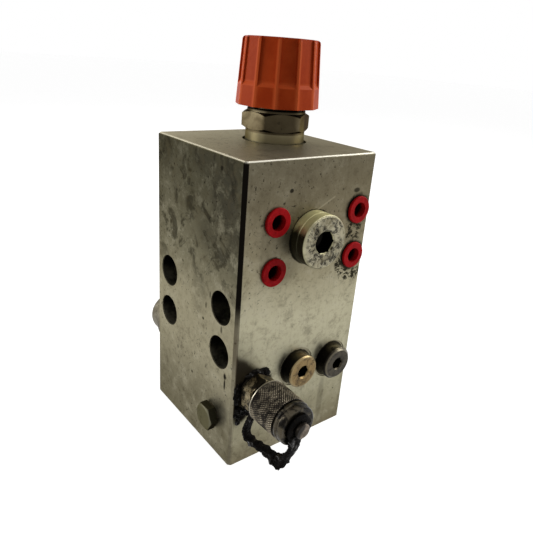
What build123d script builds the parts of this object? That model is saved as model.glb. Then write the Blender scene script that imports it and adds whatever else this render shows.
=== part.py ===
"""Hose burst valve: a plated steel block with a check valve, a relief cartridge and a test coupling.

Millimetres, +Z up, origin at the centre of the block's base. The face with the
big screw plug is the front and looks along -Y, the cylinder port is on +X, and
the hose port is on the back. Heights are counted out of a face, depths into it.
"""
import math
import os

from build123d import *

# Block
BLOCK_WIDTH = 78.0
BLOCK_DEPTH = 78.0
BLOCK_HEIGHT = 156.0
EDGE_BREAK = 0.8
CORNER_BREAK = 1.4
DRILL_TIP_ANGLE = 118.0

# Fits
THREAD_GAP = 0.1
SLIDE_GAP = 0.05
SEAT_GAP = 0.05
TURN_GAP = 0.3
RING_CORNER_SHARE = 0.3

# Mounting screws, which pass along X into the cylinder
SCREW_SPACING_Y = 50.8
SCREW_SPACING_Z = 23.8
SCREW_ROW_Z = 73.0
SCREW_HOLE_RADIUS = 5.5
SCREW_HEAD_RADIUS = 8.5
SCREW_HEAD_DEPTH = 38.0

# Cylinder port, on +X in the middle of the mounting screws
PORT_RADIUS = 9.5
PORT_DEPTH = 47.0
PORT_SEAL_OUTER = 15.9
PORT_SEAL_INNER = 12.3
PORT_SEAL_DEPTH = 2.2

# Tapped flange holes in the front, closed by plastic plugs
FLANGE_X = 5.0
FLANGE_Z = 116.6
FLANGE_HOLE_RADIUS = 5.0
FLANGE_HOLE_DEPTH = 18.0
CAP_PLUG_RADIUS = 6.85
CAP_PLUG_FLANGE = 1.4
CAP_PLUG_LENGTH = 10.0
CAP_PLUG_HOLLOW = 3.8
CAP_PLUG_ROUND = 0.5

# Check valve, along Y behind the main plug; depths count from the front face
MAIN_X = 1.2
MAIN_Z = 118.6
MAIN_THREAD_RADIUS = 10.48
MAIN_THREAD_DEPTH = 14.5
MAIN_BORE_RADIUS = 9.0
MAIN_BORE_DEPTH = 32.0
PISTON_BORE_RADIUS = 7.0
PISTON_BORE_DEPTH = 63.0
MAIN_PLUG_RADIUS = 13.0
MAIN_RING_HEIGHT = 4.7
MAIN_PLUG_FLANGE = 4.8
MAIN_PLUG_POCKET_RADIUS = 6.5
MAIN_PLUG_POCKET_DEPTH = 7.0
MAIN_SOCKET_FLATS = 10.0
MAIN_SOCKET_DEPTH = 7.5
POPPET_TRAVEL = 3.0
POPPET_STOP_GAP = 0.2
POPPET_LENGTH = 12.3
POPPET_POCKET_DEPTH = 6.0
POPPET_NOSE_RADIUS = 4.5
SEAT_RADIUS = 6.0
SLEEVE_LENGTH = 5.0
SLEEVE_GROOVE = 1.4
SLEEVE_GROOVE_WIDTH = 2.0
MAIN_SPRING_RADIUS = 4.8
MAIN_SPRING_WIRE = 1.3
MAIN_SPRING_TURNS = 5
PISTON_LENGTH = 16.0
PISTON_ROD_RADIUS = 2.5
PISTON_START = 41.0
PISTON_ROD_GAP = 0.3
PISTON_SPIGOT_RADIUS = 3.0
PISTON_GROOVE = 1.7
PISTON_GROOVE_WIDTH = 2.4

# Small ports in the front
SMALL_THREAD_RADIUS = 6.58
SMALL_THREAD_DEPTH = 13.0
SMALL_SPOT_RADIUS = 11.0
SMALL_SPOT_DEPTH = 0.5
SMALL_SOCKET_FLATS = 6.0
SMALL_SOCKET_DEPTH = 5.5
SOCKET_LEAD = 0.3
SMALL_SEAL_RADIUS = 8.3
SMALL_SEAL_DEPTH = 1.5
MIDDLE_X = 0.2
MIDDLE_Z = 47.5
MIDDLE_RADIUS = 9.0
MIDDLE_HEIGHT = 6.1
MIDDLE_EDGE = 0.6
RIGHT_X = 24.5
RIGHT_Z = 44.7
RIGHT_RADIUS = 9.2
RIGHT_HEIGHT = 6.6
RIGHT_EDGE = 1.3

# Test coupling
COUPLING_X = -26.3
COUPLING_Z = 43.5
COUPLING_THREAD_RADIUS = 7.0
COUPLING_THREAD_DEPTH = 12.0
COUPLING_WASHER = 1.5
COUPLING_WASHER_RADIUS = 8.6
COUPLING_FLATS = 17.0
COUPLING_HEX = 7.0
COUPLING_NECK_RADIUS = 6.2
COUPLING_NECK = 2.2
COUPLING_STEM_RADIUS = 7.9
COUPLING_STEM = 13.3
COUPLING_MOUTH_RADIUS = 5.0
COUPLING_BORE_RADIUS = 3.0
COUPLING_BALL_RADIUS = 2.5
COUPLING_HOLE_RADIUS = 1.5
RETAINER_RADIUS = 1.2
RETAINER_LENGTH = 2.0
BALL_SPRING_RADIUS = 1.9
BALL_SPRING_WIRE = 0.55
BALL_SPRING_TURNS = 8

# Knurled cap of the test coupling
KNURL_RADIUS = 11.0
KNURL_LENGTH = 13.8
KNURL_GROOVE = 0.8
KNURL_GROOVE_LENGTH = 0.9
SHOULDER_RADIUS = 10.7
SHOULDER_LENGTH = 3.6
CROWN_RADIUS = 9.4
CROWN_LENGTH = 4.4
STUD_NECK_RADIUS = 2.6
STUD_NECK = 2.3
STUD_RADIUS = 4.0
STUD_HEAD = 1.8
CAP_CAVITY_GAP = 0.2
CAP_SEAL_WIRE = 1.6

# Retaining strap of the knurled cap
STRAP_THICKNESS = 1.7
STRAP_WIDTH = 5.5
STRAP_RING_WALL = 2.2
STRAP_STUD_WALL = 3.3
STRAP_BEND = 3.0
STRAP_START_X = -32.5
STRAP_END_X = -28.2
STRAP_END_Z = -4.5
STRAP_LOOP = [(0, -14), (-0.4, -21.5), (4.5, -25.0), (10.5, -24.2), (16, -27.2), (21, -25.5)]
STRAP_RISE_Z = -17.0

# Hexagon screw in the left face
SIDE_Y = -21.2
SIDE_Z = 22.0
SIDE_THREAD_RADIUS = 4.0
SIDE_THREAD_DEPTH = 14.0
SIDE_SCREW_LENGTH = 12.0
SIDE_FLATS = 13.0
SIDE_HEAD = 4.4
SIDE_WASHER = 0.8
SIDE_WASHER_RADIUS = 6.4

# Hose port in the back, closed by a domed plug
HOSE_X = -21.0
HOSE_Z = 40.5
HOSE_THREAD_RADIUS = 10.48
HOSE_THREAD_DEPTH = 15.0
HOSE_BORE_RADIUS = 7.0
DOME_COLLAR_RADIUS = 14.5
DOME_COLLAR = 9.0
DOME_RADIUS = 12.5
DOME_HEIGHT = 24.0
DOME_ROUND = 5.0

# Relief cartridge in the top; depths count from the top face
RELIEF_X = 9.1
RELIEF_Y = 4.6
SPOT_RADIUS = 16.4
SPOT_DEPTH = 1.0
CAVITY_RADIUS = 12.0
CAVITY_DEPTH = 17.0
NOSE_RADIUS = 9.0
NOSE_DEPTH = 24.5
COLLAR_RADIUS = 15.0
COLLAR_TOP = 5.2
CARTRIDGE_FLATS = 30.0
HEX_TURN = 34.2
HEX_CHAMFER_ANGLE = 30.0
HEX_CHAMFER_INSET = 0.2
HEX_TOP = 14.0
NECK_RADIUS = 14.6
NECK_TOP = 15.4
TUBE_RADIUS = 11.0
TUBE_TOP = 36.0
CARTRIDGE_THREAD_DEPTH = 15.5
WAIST_RADIUS = 7.8
WAIST_DEPTH = 20.0
CARTRIDGE_DEPTH = 24.0
NOSE_GROOVE = 1.5
NOSE_GROOVE_WIDTH = 2.0
SPRING_BORE_RADIUS = 7.0
SPRING_BORE_DEPTH = 12.0
CONE_BORE_RADIUS = 4.5
RELIEF_SEAT_RADIUS = 6.0
RELIEF_SEAT_HOLE = 2.0
CONE_TIP_RADIUS = 0.8
CONE_RADIUS = 3.2
CONE_SPIGOT = 3.0
GUIDE_LAND = 2.0
PLATE_RADIUS_GAP = 0.4
CROSS_HOLE_RADIUS = 1.6
CROSS_HOLE_DEPTH = 17.5
RELIEF_SPRING_RADIUS = 5.0
RELIEF_SPRING_WIRE = 1.8
RELIEF_SPRING_TURNS = 9
GUIDE_HEIGHT = 20.0
GUIDE_PLATE = 2.0
PLUNGER_LENGTH = 6.0
SET_SCREW_RADIUS = 5.0
SET_SCREW_TOP = 43.4
SET_SCREW_FLATS = 5.0
SET_SCREW_SOCKET = 5.0
SPRING_BORE_TOP = 29.5
LOCK_NUT_FLATS = 17.0
LOCK_NUT_HEIGHT = 5.2

# Fluted protective cap over the cartridge
CAP_SIDES = 12
CAP_TURN = 19.2
CAP_BOTTOM = 16.7
CAP_TOP = 47.6
CAP_LEDGE_LOW = 26.0
CAP_LEDGE_HIGH = 27.6
CAP_BOTTOM_RADIUS = 20.73
CAP_TOP_RADIUS = 18.7
CAP_WALL = 2.6
CAP_ROOF = 3.0
CAP_ROUND = 1.6
PANEL_DEPTH = 0.9
PANEL_DRAFT = 0.3
RIB_WIDTH = 1.6
CAP_SOCKET_WALL = 1.6

# Drillings inside the block, and the expander plugs that close them
CYLINDER_GALLERY_Y = -11.5
CYLINDER_GALLERY_RADIUS = 4.0
HOSE_GALLERY_Y = -3.0
HOSE_GALLERY_RADIUS = 5.0
CROSSOVER_Y = -2.0
CROSSOVER_Z = 112.0
CROSSOVER_RADIUS = 3.5
PILOT_Y = 14.0
PILOT_RADIUS = 2.0
PILOT_CROSS_Y = 21.0
PILOT_CROSS_Z = 122.5
RELIEF_FEED_X = 14.5
RELIEF_FEED_Y = 8.0
RELIEF_FEED_RADIUS = 2.0
RELIEF_DRAIN_Y = 0.0
RELIEF_DRAIN_DEPTH = 17.5
RELIEF_DRAIN_RADIUS = 2.0
SMALL_DRILL_RADIUS = 2.5
EXPANDER_WALL = 0.8
EXPANDER_LENGTH = 6.0
EXPANDER_SINK = 0.6
EXPANDER_HOLLOW = 2.0
EXPANDER_FLOOR_SHARE = 0.7

# Sizes worked out from the ones above
SEAT_DEPTH = MAIN_BORE_DEPTH - SLEEVE_LENGTH
POPPET_NOSE_DEPTH = SEAT_DEPTH + SEAT_RADIUS - POPPET_NOSE_RADIUS
POPPET_START = POPPET_NOSE_DEPTH - POPPET_LENGTH
PLUG_END = POPPET_START - POPPET_TRAVEL - POPPET_STOP_GAP
COUPLING_HEX_TOP = COUPLING_WASHER + COUPLING_HEX
COUPLING_NECK_TOP = COUPLING_HEX_TOP + COUPLING_NECK
COUPLING_TOP = COUPLING_NECK_TOP + COUPLING_STEM
KNURL_TOP = COUPLING_NECK_TOP + KNURL_LENGTH
SHOULDER_TOP = KNURL_TOP + KNURL_GROOVE_LENGTH + SHOULDER_LENGTH
CROWN_TOP = SHOULDER_TOP + CROWN_LENGTH
STUD_NECK_TOP = CROWN_TOP + STUD_NECK
STUD_TOP = STUD_NECK_TOP + STUD_HEAD
DRAIN_Z = BLOCK_HEIGHT - RELIEF_DRAIN_DEPTH
GUIDE_TOP = GUIDE_HEIGHT + GUIDE_PLATE


def on_front(x, z):
    """Place on the front face, with its own z axis pointing out of the block."""
    return Plane(origin=(x, -BLOCK_DEPTH / 2, z), x_dir=(1, 0, 0), z_dir=(0, -1, 0))


def on_back(x, z):
    """Place on the back face, with its own z axis pointing out of the block."""
    return Plane(origin=(x, BLOCK_DEPTH / 2, z), x_dir=(-1, 0, 0), z_dir=(0, 1, 0))


def on_left(y, z):
    """Place on the left face, with its own z axis pointing out of the block."""
    return Plane(origin=(-BLOCK_WIDTH / 2, y, z), x_dir=(0, -1, 0), z_dir=(-1, 0, 0))


def on_right(y, z):
    """Place on the right face, with its own z axis pointing out of the block."""
    return Plane(origin=(BLOCK_WIDTH / 2, y, z), x_dir=(0, 1, 0), z_dir=(1, 0, 0))


def on_top(x, y):
    """Place on the top face, with its own z axis pointing up."""
    return Plane(origin=(x, y, BLOCK_HEIGHT), x_dir=(1, 0, 0), z_dir=(0, 0, 1))


def on_bottom(x, y):
    """Place on the base, with its own z axis pointing down."""
    return Plane(origin=(x, y, 0), x_dir=(1, 0, 0), z_dir=(0, 0, -1))


def turned(place, outline):
    """Turned solid: (radius, height) points revolved about the place's z axis."""
    face = make_face(Plane.XZ * Polyline(*outline, close=True))
    return place * revolve(face, Axis.Z)


def disc(place, radius, low, high):
    """Plain cylinder between two heights."""
    from_low = (Align.CENTER, Align.CENTER, Align.MIN)
    return place * Pos(0, 0, low) * Cylinder(radius, high - low, align=from_low)


def tube(place, outer, inner, low, high):
    """Plain ring between two heights."""
    return disc(place, outer, low, high) - disc(place, inner, low, high)


def hexagon(place, flats, low, high, turn=0.0):
    """Hexagonal prism, given across its flats."""
    outline = RegularPolygon(flats / 2, 6, major_radius=False, rotation=turn)
    return place * Pos(0, 0, low) * extrude(outline, high - low)


def drilling(place, radius, depth, start=0.0):
    """Drilled hole with a pointed end, cut into the block from a face."""
    tip = radius / math.tan(math.radians(DRILL_TIP_ANGLE / 2))
    outline = [(0, -start), (radius, -start), (radius, -depth), (0, -depth - tip)]
    return turned(place, outline)


def o_ring(place, inner, outer, low, high):
    """Round-cornered seal that fills a groove between two radii and two heights."""
    corner = RING_CORNER_SHARE * min(outer - inner, high - low)
    section = Pos((inner + outer) / 2, (low + high) / 2) * Rectangle(outer - inner, high - low)
    section = fillet(section.vertices(), corner)
    return place * revolve(Plane.XZ * section, Axis.Z)


def coil_spring(place, radius, wire, turns, low, high):
    """Coil spring between two heights; the wire's own thickness is inside them."""
    length = high - low - wire
    path = Pos(0, 0, low + wire / 2) * Helix(pitch=length / turns, height=length, radius=radius)
    start = Plane(origin=path @ 0, z_dir=path % 0)
    return place * sweep(start * Circle(wire / 2), path=path, is_frenet=True)


MAIN = on_front(MAIN_X, MAIN_Z)
MIDDLE = on_front(MIDDLE_X, MIDDLE_Z)
RIGHT = on_front(RIGHT_X, RIGHT_Z)
COUPLING = on_front(COUPLING_X, COUPLING_Z)
SIDE = on_left(SIDE_Y, SIDE_Z)
HOSE = on_back(HOSE_X, HOSE_Z)
CYLINDER = on_right(0, SCREW_ROW_Z)
RELIEF = on_top(RELIEF_X, RELIEF_Y)


def screw_offsets():
    """The four corners of the flange screw pattern, as offsets in a face."""
    half_y, half_z = SCREW_SPACING_Y / 2, SCREW_SPACING_Z / 2
    return [(side * half_y, row * half_z) for side in (-1, 1) for row in (-1, 1)]


def flange_places():
    """Places of the four tapped flange holes in the front."""
    return [on_front(FLANGE_X + across, FLANGE_Z + up) for across, up in screw_offsets()]


def expander_places():
    """Place and drilling radius of each construction drilling that is closed again."""
    return [
        (on_bottom(MAIN_X, CYLINDER_GALLERY_Y), CYLINDER_GALLERY_RADIUS),
        (on_bottom(HOSE_X, HOSE_GALLERY_Y), HOSE_GALLERY_RADIUS),
        (on_bottom(RIGHT_X, PILOT_Y), PILOT_RADIUS),
        (on_right(CROSSOVER_Y, CROSSOVER_Z), CROSSOVER_RADIUS),
        (on_right(PILOT_CROSS_Y, PILOT_CROSS_Z), PILOT_RADIUS),
        (on_right(RELIEF_DRAIN_Y, DRAIN_Z), RELIEF_DRAIN_RADIUS),
        (on_back(RIGHT_X, PILOT_CROSS_Z), PILOT_RADIUS),
    ]


def block_body():
    """The sawn and milled block, with its edges broken."""
    body = Box(BLOCK_WIDTH, BLOCK_DEPTH, BLOCK_HEIGHT, align=(Align.CENTER, Align.CENTER, Align.MIN))
    upright = body.edges().filter_by(Axis.Z)
    body = chamfer(upright, CORNER_BREAK)
    level = [edge for face in (body.faces().sort_by(Axis.Z)[0], body.faces().sort_by(Axis.Z)[-1])
             for edge in face.edges()]
    return chamfer(level, EDGE_BREAK)


def screw_passages():
    """Four clearance holes along X, with deep seats for the screw heads on the left."""
    cuts = []
    for across, up in screw_offsets():
        place = on_left(across, SCREW_ROW_Z + up)
        cuts.append(disc(place, SCREW_HOLE_RADIUS, -BLOCK_WIDTH, 0))
        cuts.append(disc(place, SCREW_HEAD_RADIUS, -SCREW_HEAD_DEPTH, 0))
    return cuts


def valve_cavities():
    """Cavities for the check valve, the relief cartridge and the port plugs."""
    cuts = [
        disc(MAIN, MAIN_THREAD_RADIUS, -MAIN_THREAD_DEPTH, 0),
        disc(MAIN, MAIN_BORE_RADIUS, -MAIN_BORE_DEPTH, 0),
        drilling(MAIN, PISTON_BORE_RADIUS, PISTON_BORE_DEPTH),
        disc(RELIEF, SPOT_RADIUS, -SPOT_DEPTH, 0),
        disc(RELIEF, CAVITY_RADIUS, -CAVITY_DEPTH, 0),
        disc(RELIEF, NOSE_RADIUS, -NOSE_DEPTH, 0),
        disc(CYLINDER, PORT_RADIUS, -PORT_DEPTH, 0),
        tube(CYLINDER, PORT_SEAL_OUTER, PORT_SEAL_INNER, -PORT_SEAL_DEPTH, 0),
        drilling(HOSE, HOSE_THREAD_RADIUS, HOSE_THREAD_DEPTH),
        drilling(SIDE, SIDE_THREAD_RADIUS, SIDE_THREAD_DEPTH),
        drilling(COUPLING, COUPLING_THREAD_RADIUS, COUPLING_THREAD_DEPTH),
    ]
    for place in (MIDDLE, RIGHT):
        cuts.append(disc(place, SMALL_SPOT_RADIUS, -SMALL_SPOT_DEPTH, 0))
        cuts.append(disc(place, SMALL_SEAL_RADIUS, -SMALL_SPOT_DEPTH - SMALL_SEAL_DEPTH, 0))
        cuts.append(drilling(place, SMALL_THREAD_RADIUS, SMALL_THREAD_DEPTH))
    for place in flange_places():
        cuts.append(drilling(place, FLANGE_HOLE_RADIUS, FLANGE_HOLE_DEPTH))
    return cuts


def galleries():
    """Drillings that join the ports to the valve cavities."""
    front, back = -BLOCK_DEPTH / 2, BLOCK_DEPTH / 2
    side = BLOCK_WIDTH / 2
    cuts = [
        disc(on_bottom(MAIN_X, CYLINDER_GALLERY_Y), CYLINDER_GALLERY_RADIUS, -CROSSOVER_Z, 0),
        drilling(on_bottom(HOSE_X, HOSE_GALLERY_Y), HOSE_GALLERY_RADIUS, DRAIN_Z),
        drilling(on_bottom(RIGHT_X, PILOT_Y), PILOT_RADIUS, PILOT_CROSS_Z),
        disc(on_right(CROSSOVER_Y, CROSSOVER_Z), CROSSOVER_RADIUS, HOSE_X - side, 0),
        disc(on_right(PILOT_CROSS_Y, PILOT_CROSS_Z), PILOT_RADIUS, MAIN_X - side, 0),
        disc(on_right(RELIEF_DRAIN_Y, DRAIN_Z), RELIEF_DRAIN_RADIUS, HOSE_X - side, 0),
        disc(on_back(RIGHT_X, PILOT_CROSS_Z), PILOT_RADIUS, PILOT_Y - back, 0),
        disc(on_top(RELIEF_FEED_X, RELIEF_FEED_Y), RELIEF_FEED_RADIUS,
             SCREW_ROW_Z - BLOCK_HEIGHT, -NOSE_DEPTH + SEAT_GAP),
        disc(HOSE, HOSE_BORE_RADIUS, HOSE_GALLERY_Y - back, 0),
        disc(MIDDLE, SMALL_DRILL_RADIUS, front - CYLINDER_GALLERY_Y, 0),
        disc(RIGHT, SMALL_DRILL_RADIUS, front - PILOT_Y, 0),
        disc(COUPLING, SMALL_DRILL_RADIUS, front - HOSE_GALLERY_Y, 0),
    ]
    for place, radius in expander_places():
        cuts.append(disc(place, radius + EXPANDER_WALL, -EXPANDER_LENGTH - EXPANDER_SINK, 0))
    return cuts


def valve_block():
    """The block with all its cavities."""
    body = block_body()
    for cut in screw_passages() + valve_cavities() + galleries():
        body -= cut
    return body


def expander_plugs():
    """Pressed-in cups that close the construction drillings, flush below each face."""
    plugs = []
    for place, radius in expander_places():
        outer = radius + EXPANDER_WALL
        low, high = -EXPANDER_LENGTH - EXPANDER_SINK, -EXPANDER_SINK
        hollow = high - EXPANDER_HOLLOW
        outline = [(0, low), (outer, low), (outer, high), (radius, high),
                   (radius * EXPANDER_FLOOR_SHARE, hollow), (0, hollow)]
        plugs.append(turned(place, outline))
    return Compound(children=plugs)


def socket_plug(place, radius, seat, face, shank_radius, shank_depth, edge, flats, socket):
    """Screw plug: round flange from its seat up to its face, shank, and hexagon socket."""
    outline = [
        (0, -shank_depth), (shank_radius - edge, -shank_depth), (shank_radius, -shank_depth + edge),
        (shank_radius, seat), (radius, seat), (radius, face - edge), (radius - edge, face), (0, face),
    ]
    body = turned(place, outline)
    corner = flats / math.sqrt(3)
    body -= hexagon(place, flats, face - socket, face)
    body -= place * Pos(0, 0, face - socket) * drilling(Plane.XY, flats / 2, 0, start=-EDGE_BREAK)
    lead = corner + SOCKET_LEAD
    return body - turned(place, [(0, face), (lead, face), (0, face - lead)])


def main_plug():
    """Big plug of the check valve, with a pocket for the spring in its end."""
    body = socket_plug(MAIN, MAIN_PLUG_RADIUS, MAIN_RING_HEIGHT, MAIN_RING_HEIGHT + MAIN_PLUG_FLANGE,
                       MAIN_THREAD_RADIUS - THREAD_GAP, PLUG_END, EDGE_BREAK,
                       MAIN_SOCKET_FLATS, MAIN_SOCKET_DEPTH)
    return body - disc(MAIN, MAIN_PLUG_POCKET_RADIUS, -PLUG_END, -PLUG_END + MAIN_PLUG_POCKET_DEPTH)


def main_plug_ring():
    """Thick sealing ring under the big plug's flange."""
    half = EDGE_BREAK / 2
    inner = MAIN_THREAD_RADIUS + THREAD_GAP
    outline = [(inner, 0), (MAIN_PLUG_RADIUS, 0), (MAIN_PLUG_RADIUS, MAIN_RING_HEIGHT - half),
               (MAIN_PLUG_RADIUS - half, MAIN_RING_HEIGHT), (inner, MAIN_RING_HEIGHT)]
    return turned(MAIN, outline)


def main_poppet():
    """Check poppet: a cup for the spring, with a cone that closes on the seat sleeve."""
    radius = MAIN_BORE_RADIUS - SLIDE_GAP
    start, nose = -POPPET_START, -POPPET_NOSE_DEPTH
    cone = radius - EDGE_BREAK
    cone_start = nose + cone - POPPET_NOSE_RADIUS
    gap = SEAT_GAP
    outline = [(0, nose + gap), (POPPET_NOSE_RADIUS, nose + gap), (cone, cone_start + gap),
               (radius, cone_start + gap + EDGE_BREAK), (radius, start), (0, start)]
    body = turned(MAIN, outline)
    return body - disc(MAIN, MAIN_PLUG_POCKET_RADIUS, start - POPPET_POCKET_DEPTH, start)


def main_spring():
    """Spring between the big plug and the poppet."""
    return coil_spring(MAIN, MAIN_SPRING_RADIUS, MAIN_SPRING_WIRE, MAIN_SPRING_TURNS,
                       -POPPET_START - POPPET_POCKET_DEPTH, -PLUG_END + MAIN_PLUG_POCKET_DEPTH)


def sleeve_groove_heights():
    """Lower and upper height of the seal groove round the seat sleeve."""
    middle = -(SEAT_DEPTH + MAIN_BORE_DEPTH) / 2
    return middle - SLEEVE_GROOVE_WIDTH / 2, middle + SLEEVE_GROOVE_WIDTH / 2


def seat_sleeve():
    """Ring with the seat edge, held against the step of the bore."""
    outer = MAIN_BORE_RADIUS - SEAT_GAP
    body = tube(MAIN, outer, SEAT_RADIUS, -MAIN_BORE_DEPTH, -SEAT_DEPTH)
    low, high = sleeve_groove_heights()
    return body - tube(MAIN, outer, outer - SLEEVE_GROOVE, low, high)


def seat_sleeve_seal():
    """Seal in the sleeve's groove."""
    low, high = sleeve_groove_heights()
    outer = MAIN_BORE_RADIUS - SEAT_GAP
    return o_ring(MAIN, outer - SLEEVE_GROOVE, MAIN_BORE_RADIUS, low, high)


def piston_groove_heights():
    """Lower and upper height of the seal groove round the pilot piston."""
    middle = -PISTON_START - PISTON_LENGTH / 2
    return middle - PISTON_GROOVE_WIDTH / 2, middle + PISTON_GROOVE_WIDTH / 2


def pilot_piston():
    """Piston whose rod pushes the poppet off its seat."""
    radius = PISTON_BORE_RADIUS - SLIDE_GAP
    head, end = -PISTON_START, -PISTON_START - PISTON_LENGTH
    tip = -POPPET_NOSE_DEPTH - PISTON_ROD_GAP
    edge = EDGE_BREAK
    outline = [
        (0, -PISTON_BORE_DEPTH + edge), (PISTON_SPIGOT_RADIUS, -PISTON_BORE_DEPTH + edge),
        (PISTON_SPIGOT_RADIUS, end), (radius - edge, end), (radius, end + edge), (radius, head - edge),
        (radius - edge, head), (PISTON_ROD_RADIUS, head), (PISTON_ROD_RADIUS, tip), (0, tip),
    ]
    low, high = piston_groove_heights()
    return turned(MAIN, outline) - tube(MAIN, radius, radius - PISTON_GROOVE, low, high)


def pilot_piston_seal():
    """Seal in the piston's groove."""
    low, high = piston_groove_heights()
    radius = PISTON_BORE_RADIUS - SLIDE_GAP
    return o_ring(MAIN, radius - PISTON_GROOVE, radius, low, high)


def small_plug(place, radius, height, edge):
    """Small port plug, seated in its spot face."""
    return socket_plug(place, radius, -SMALL_SPOT_DEPTH, height, SMALL_THREAD_RADIUS - THREAD_GAP,
                       SMALL_THREAD_DEPTH - EDGE_BREAK, edge, SMALL_SOCKET_FLATS, SMALL_SOCKET_DEPTH)


def small_seal(place):
    """Seal in the recess under a small port plug."""
    top = -SMALL_SPOT_DEPTH
    return o_ring(place, SMALL_THREAD_RADIUS, SMALL_SEAL_RADIUS, top - SMALL_SEAL_DEPTH, top)


def flange_hole_plugs():
    """Four hollow plastic plugs with a rounded flange, pushed into the tapped holes."""
    shank = FLANGE_HOLE_RADIUS - THREAD_GAP
    plugs = []
    for place in flange_places():
        outline = [(0, -CAP_PLUG_LENGTH), (shank, -CAP_PLUG_LENGTH), (shank, 0),
                   (CAP_PLUG_RADIUS, 0), (CAP_PLUG_RADIUS, CAP_PLUG_FLANGE), (0, CAP_PLUG_FLANGE)]
        face = make_face(Polyline(*outline, close=True))
        rims = face.vertices().filter_by(lambda v: v.X > shank + THREAD_GAP)
        face = fillet(rims, CAP_PLUG_ROUND)
        body = place * revolve(Plane.XZ * face, Axis.Z)
        floor = -CAP_PLUG_LENGTH + CAP_PLUG_FLANGE
        plugs.append(body - disc(place, CAP_PLUG_HOLLOW, floor, CAP_PLUG_FLANGE))
    return Compound(children=plugs)


def cylinder_port_seal():
    """Face seal round the cylinder port, level with the face."""
    return o_ring(CYLINDER, PORT_SEAL_INNER, PORT_SEAL_OUTER, -PORT_SEAL_DEPTH, 0)


def side_screw():
    """Hexagon screw in the left face, with its head's corners turned off."""
    top = SIDE_WASHER + SIDE_HEAD
    head = hexagon(SIDE, SIDE_FLATS, SIDE_WASHER, top)
    corner = SIDE_FLATS / math.sqrt(3)
    round_off = turned(SIDE, [(0, SIDE_WASHER), (corner, SIDE_WASHER), (corner, top - EDGE_BREAK),
                              (corner - 2 * EDGE_BREAK, top), (0, top)])
    shank = SIDE_THREAD_RADIUS - THREAD_GAP
    return (head & round_off) + disc(SIDE, shank, -SIDE_SCREW_LENGTH, SIDE_WASHER)


def side_washer():
    """Thin sealing washer under the hexagon screw."""
    return tube(SIDE, SIDE_WASHER_RADIUS, SIDE_THREAD_RADIUS, 0, SIDE_WASHER)


def hose_port_plug():
    """Domed plug of the hose port, on a wider collar."""
    shank = HOSE_THREAD_RADIUS - THREAD_GAP
    edge = EDGE_BREAK
    outline = [
        (0, -HOSE_THREAD_DEPTH + edge), (shank, -HOSE_THREAD_DEPTH + edge), (shank, 0),
        (DOME_COLLAR_RADIUS, 0), (DOME_COLLAR_RADIUS, DOME_COLLAR - edge),
        (DOME_COLLAR_RADIUS - edge, DOME_COLLAR), (DOME_RADIUS, DOME_COLLAR), (DOME_RADIUS, DOME_HEIGHT),
        (0, DOME_HEIGHT),
    ]
    face = make_face(Polyline(*outline, close=True))
    rim = face.vertices().filter_by(lambda v: v.X > edge and v.Y > DOME_HEIGHT - edge)
    return HOSE * revolve(Plane.XZ * fillet(rim, DOME_ROUND), Axis.Z)


def coupling_body():
    """Test coupling: thread, hexagon, neck for the strap, and the threaded stem."""
    shank = COUPLING_THREAD_RADIUS - THREAD_GAP
    edge = EDGE_BREAK
    outline = [
        (0, edge - COUPLING_THREAD_DEPTH), (shank, edge - COUPLING_THREAD_DEPTH), (shank, COUPLING_WASHER),
        (COUPLING_NECK_RADIUS, COUPLING_WASHER), (COUPLING_NECK_RADIUS, COUPLING_NECK_TOP),
        (COUPLING_STEM_RADIUS, COUPLING_NECK_TOP), (COUPLING_STEM_RADIUS, COUPLING_TOP - edge),
        (COUPLING_STEM_RADIUS - edge, COUPLING_TOP), (0, COUPLING_TOP),
    ]
    body = turned(COUPLING, outline)
    nut = hexagon(COUPLING, COUPLING_FLATS, COUPLING_WASHER, COUPLING_HEX_TOP, turn=30)
    corner = COUPLING_FLATS / math.sqrt(3)
    body += nut & turned(COUPLING, [(0, COUPLING_WASHER), (corner - edge, COUPLING_WASHER),
                                    (corner, COUPLING_WASHER + edge / 2), (corner, COUPLING_HEX_TOP - edge),
                                    (corner - 2 * edge, COUPLING_HEX_TOP), (0, COUPLING_HEX_TOP)])
    return body - turned(COUPLING, coupling_bore())


def ball_seat_height():
    """Height at which the bore starts to close into the cone under the ball's seat."""
    return COUPLING_TOP - COUPLING_MOUTH_RADIUS - COUPLING_HOLE_RADIUS


def coupling_bore():
    """Outline of the bore: ball chamber, seat cone, hole and flared mouth."""
    cone = ball_seat_height()
    narrow = cone + COUPLING_BORE_RADIUS - COUPLING_HOLE_RADIUS
    flare = COUPLING_TOP - (COUPLING_MOUTH_RADIUS - COUPLING_HOLE_RADIUS) / 2
    return [(0, -COUPLING_THREAD_DEPTH), (COUPLING_BORE_RADIUS, -COUPLING_THREAD_DEPTH),
            (COUPLING_BORE_RADIUS, cone), (COUPLING_HOLE_RADIUS, narrow), (COUPLING_HOLE_RADIUS, flare),
            (COUPLING_MOUTH_RADIUS, COUPLING_TOP), (0, COUPLING_TOP)]


def ball_height():
    """Height of the ball's centre when it rests in its seat cone."""
    return ball_seat_height() + COUPLING_BORE_RADIUS - (COUPLING_BALL_RADIUS + SEAT_GAP) * math.sqrt(2)


def retainer_top():
    """Height of the ring that the ball's spring stands on."""
    return COUPLING_WASHER + RETAINER_LENGTH


def coupling_ball():
    """Ball that closes the test coupling."""
    return COUPLING * Pos(0, 0, ball_height()) * Sphere(COUPLING_BALL_RADIUS)


def coupling_retainer():
    """Ring pressed into the bore as a stop for the spring."""
    return tube(COUPLING, COUPLING_BORE_RADIUS, RETAINER_RADIUS, COUPLING_WASHER, retainer_top())


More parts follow.
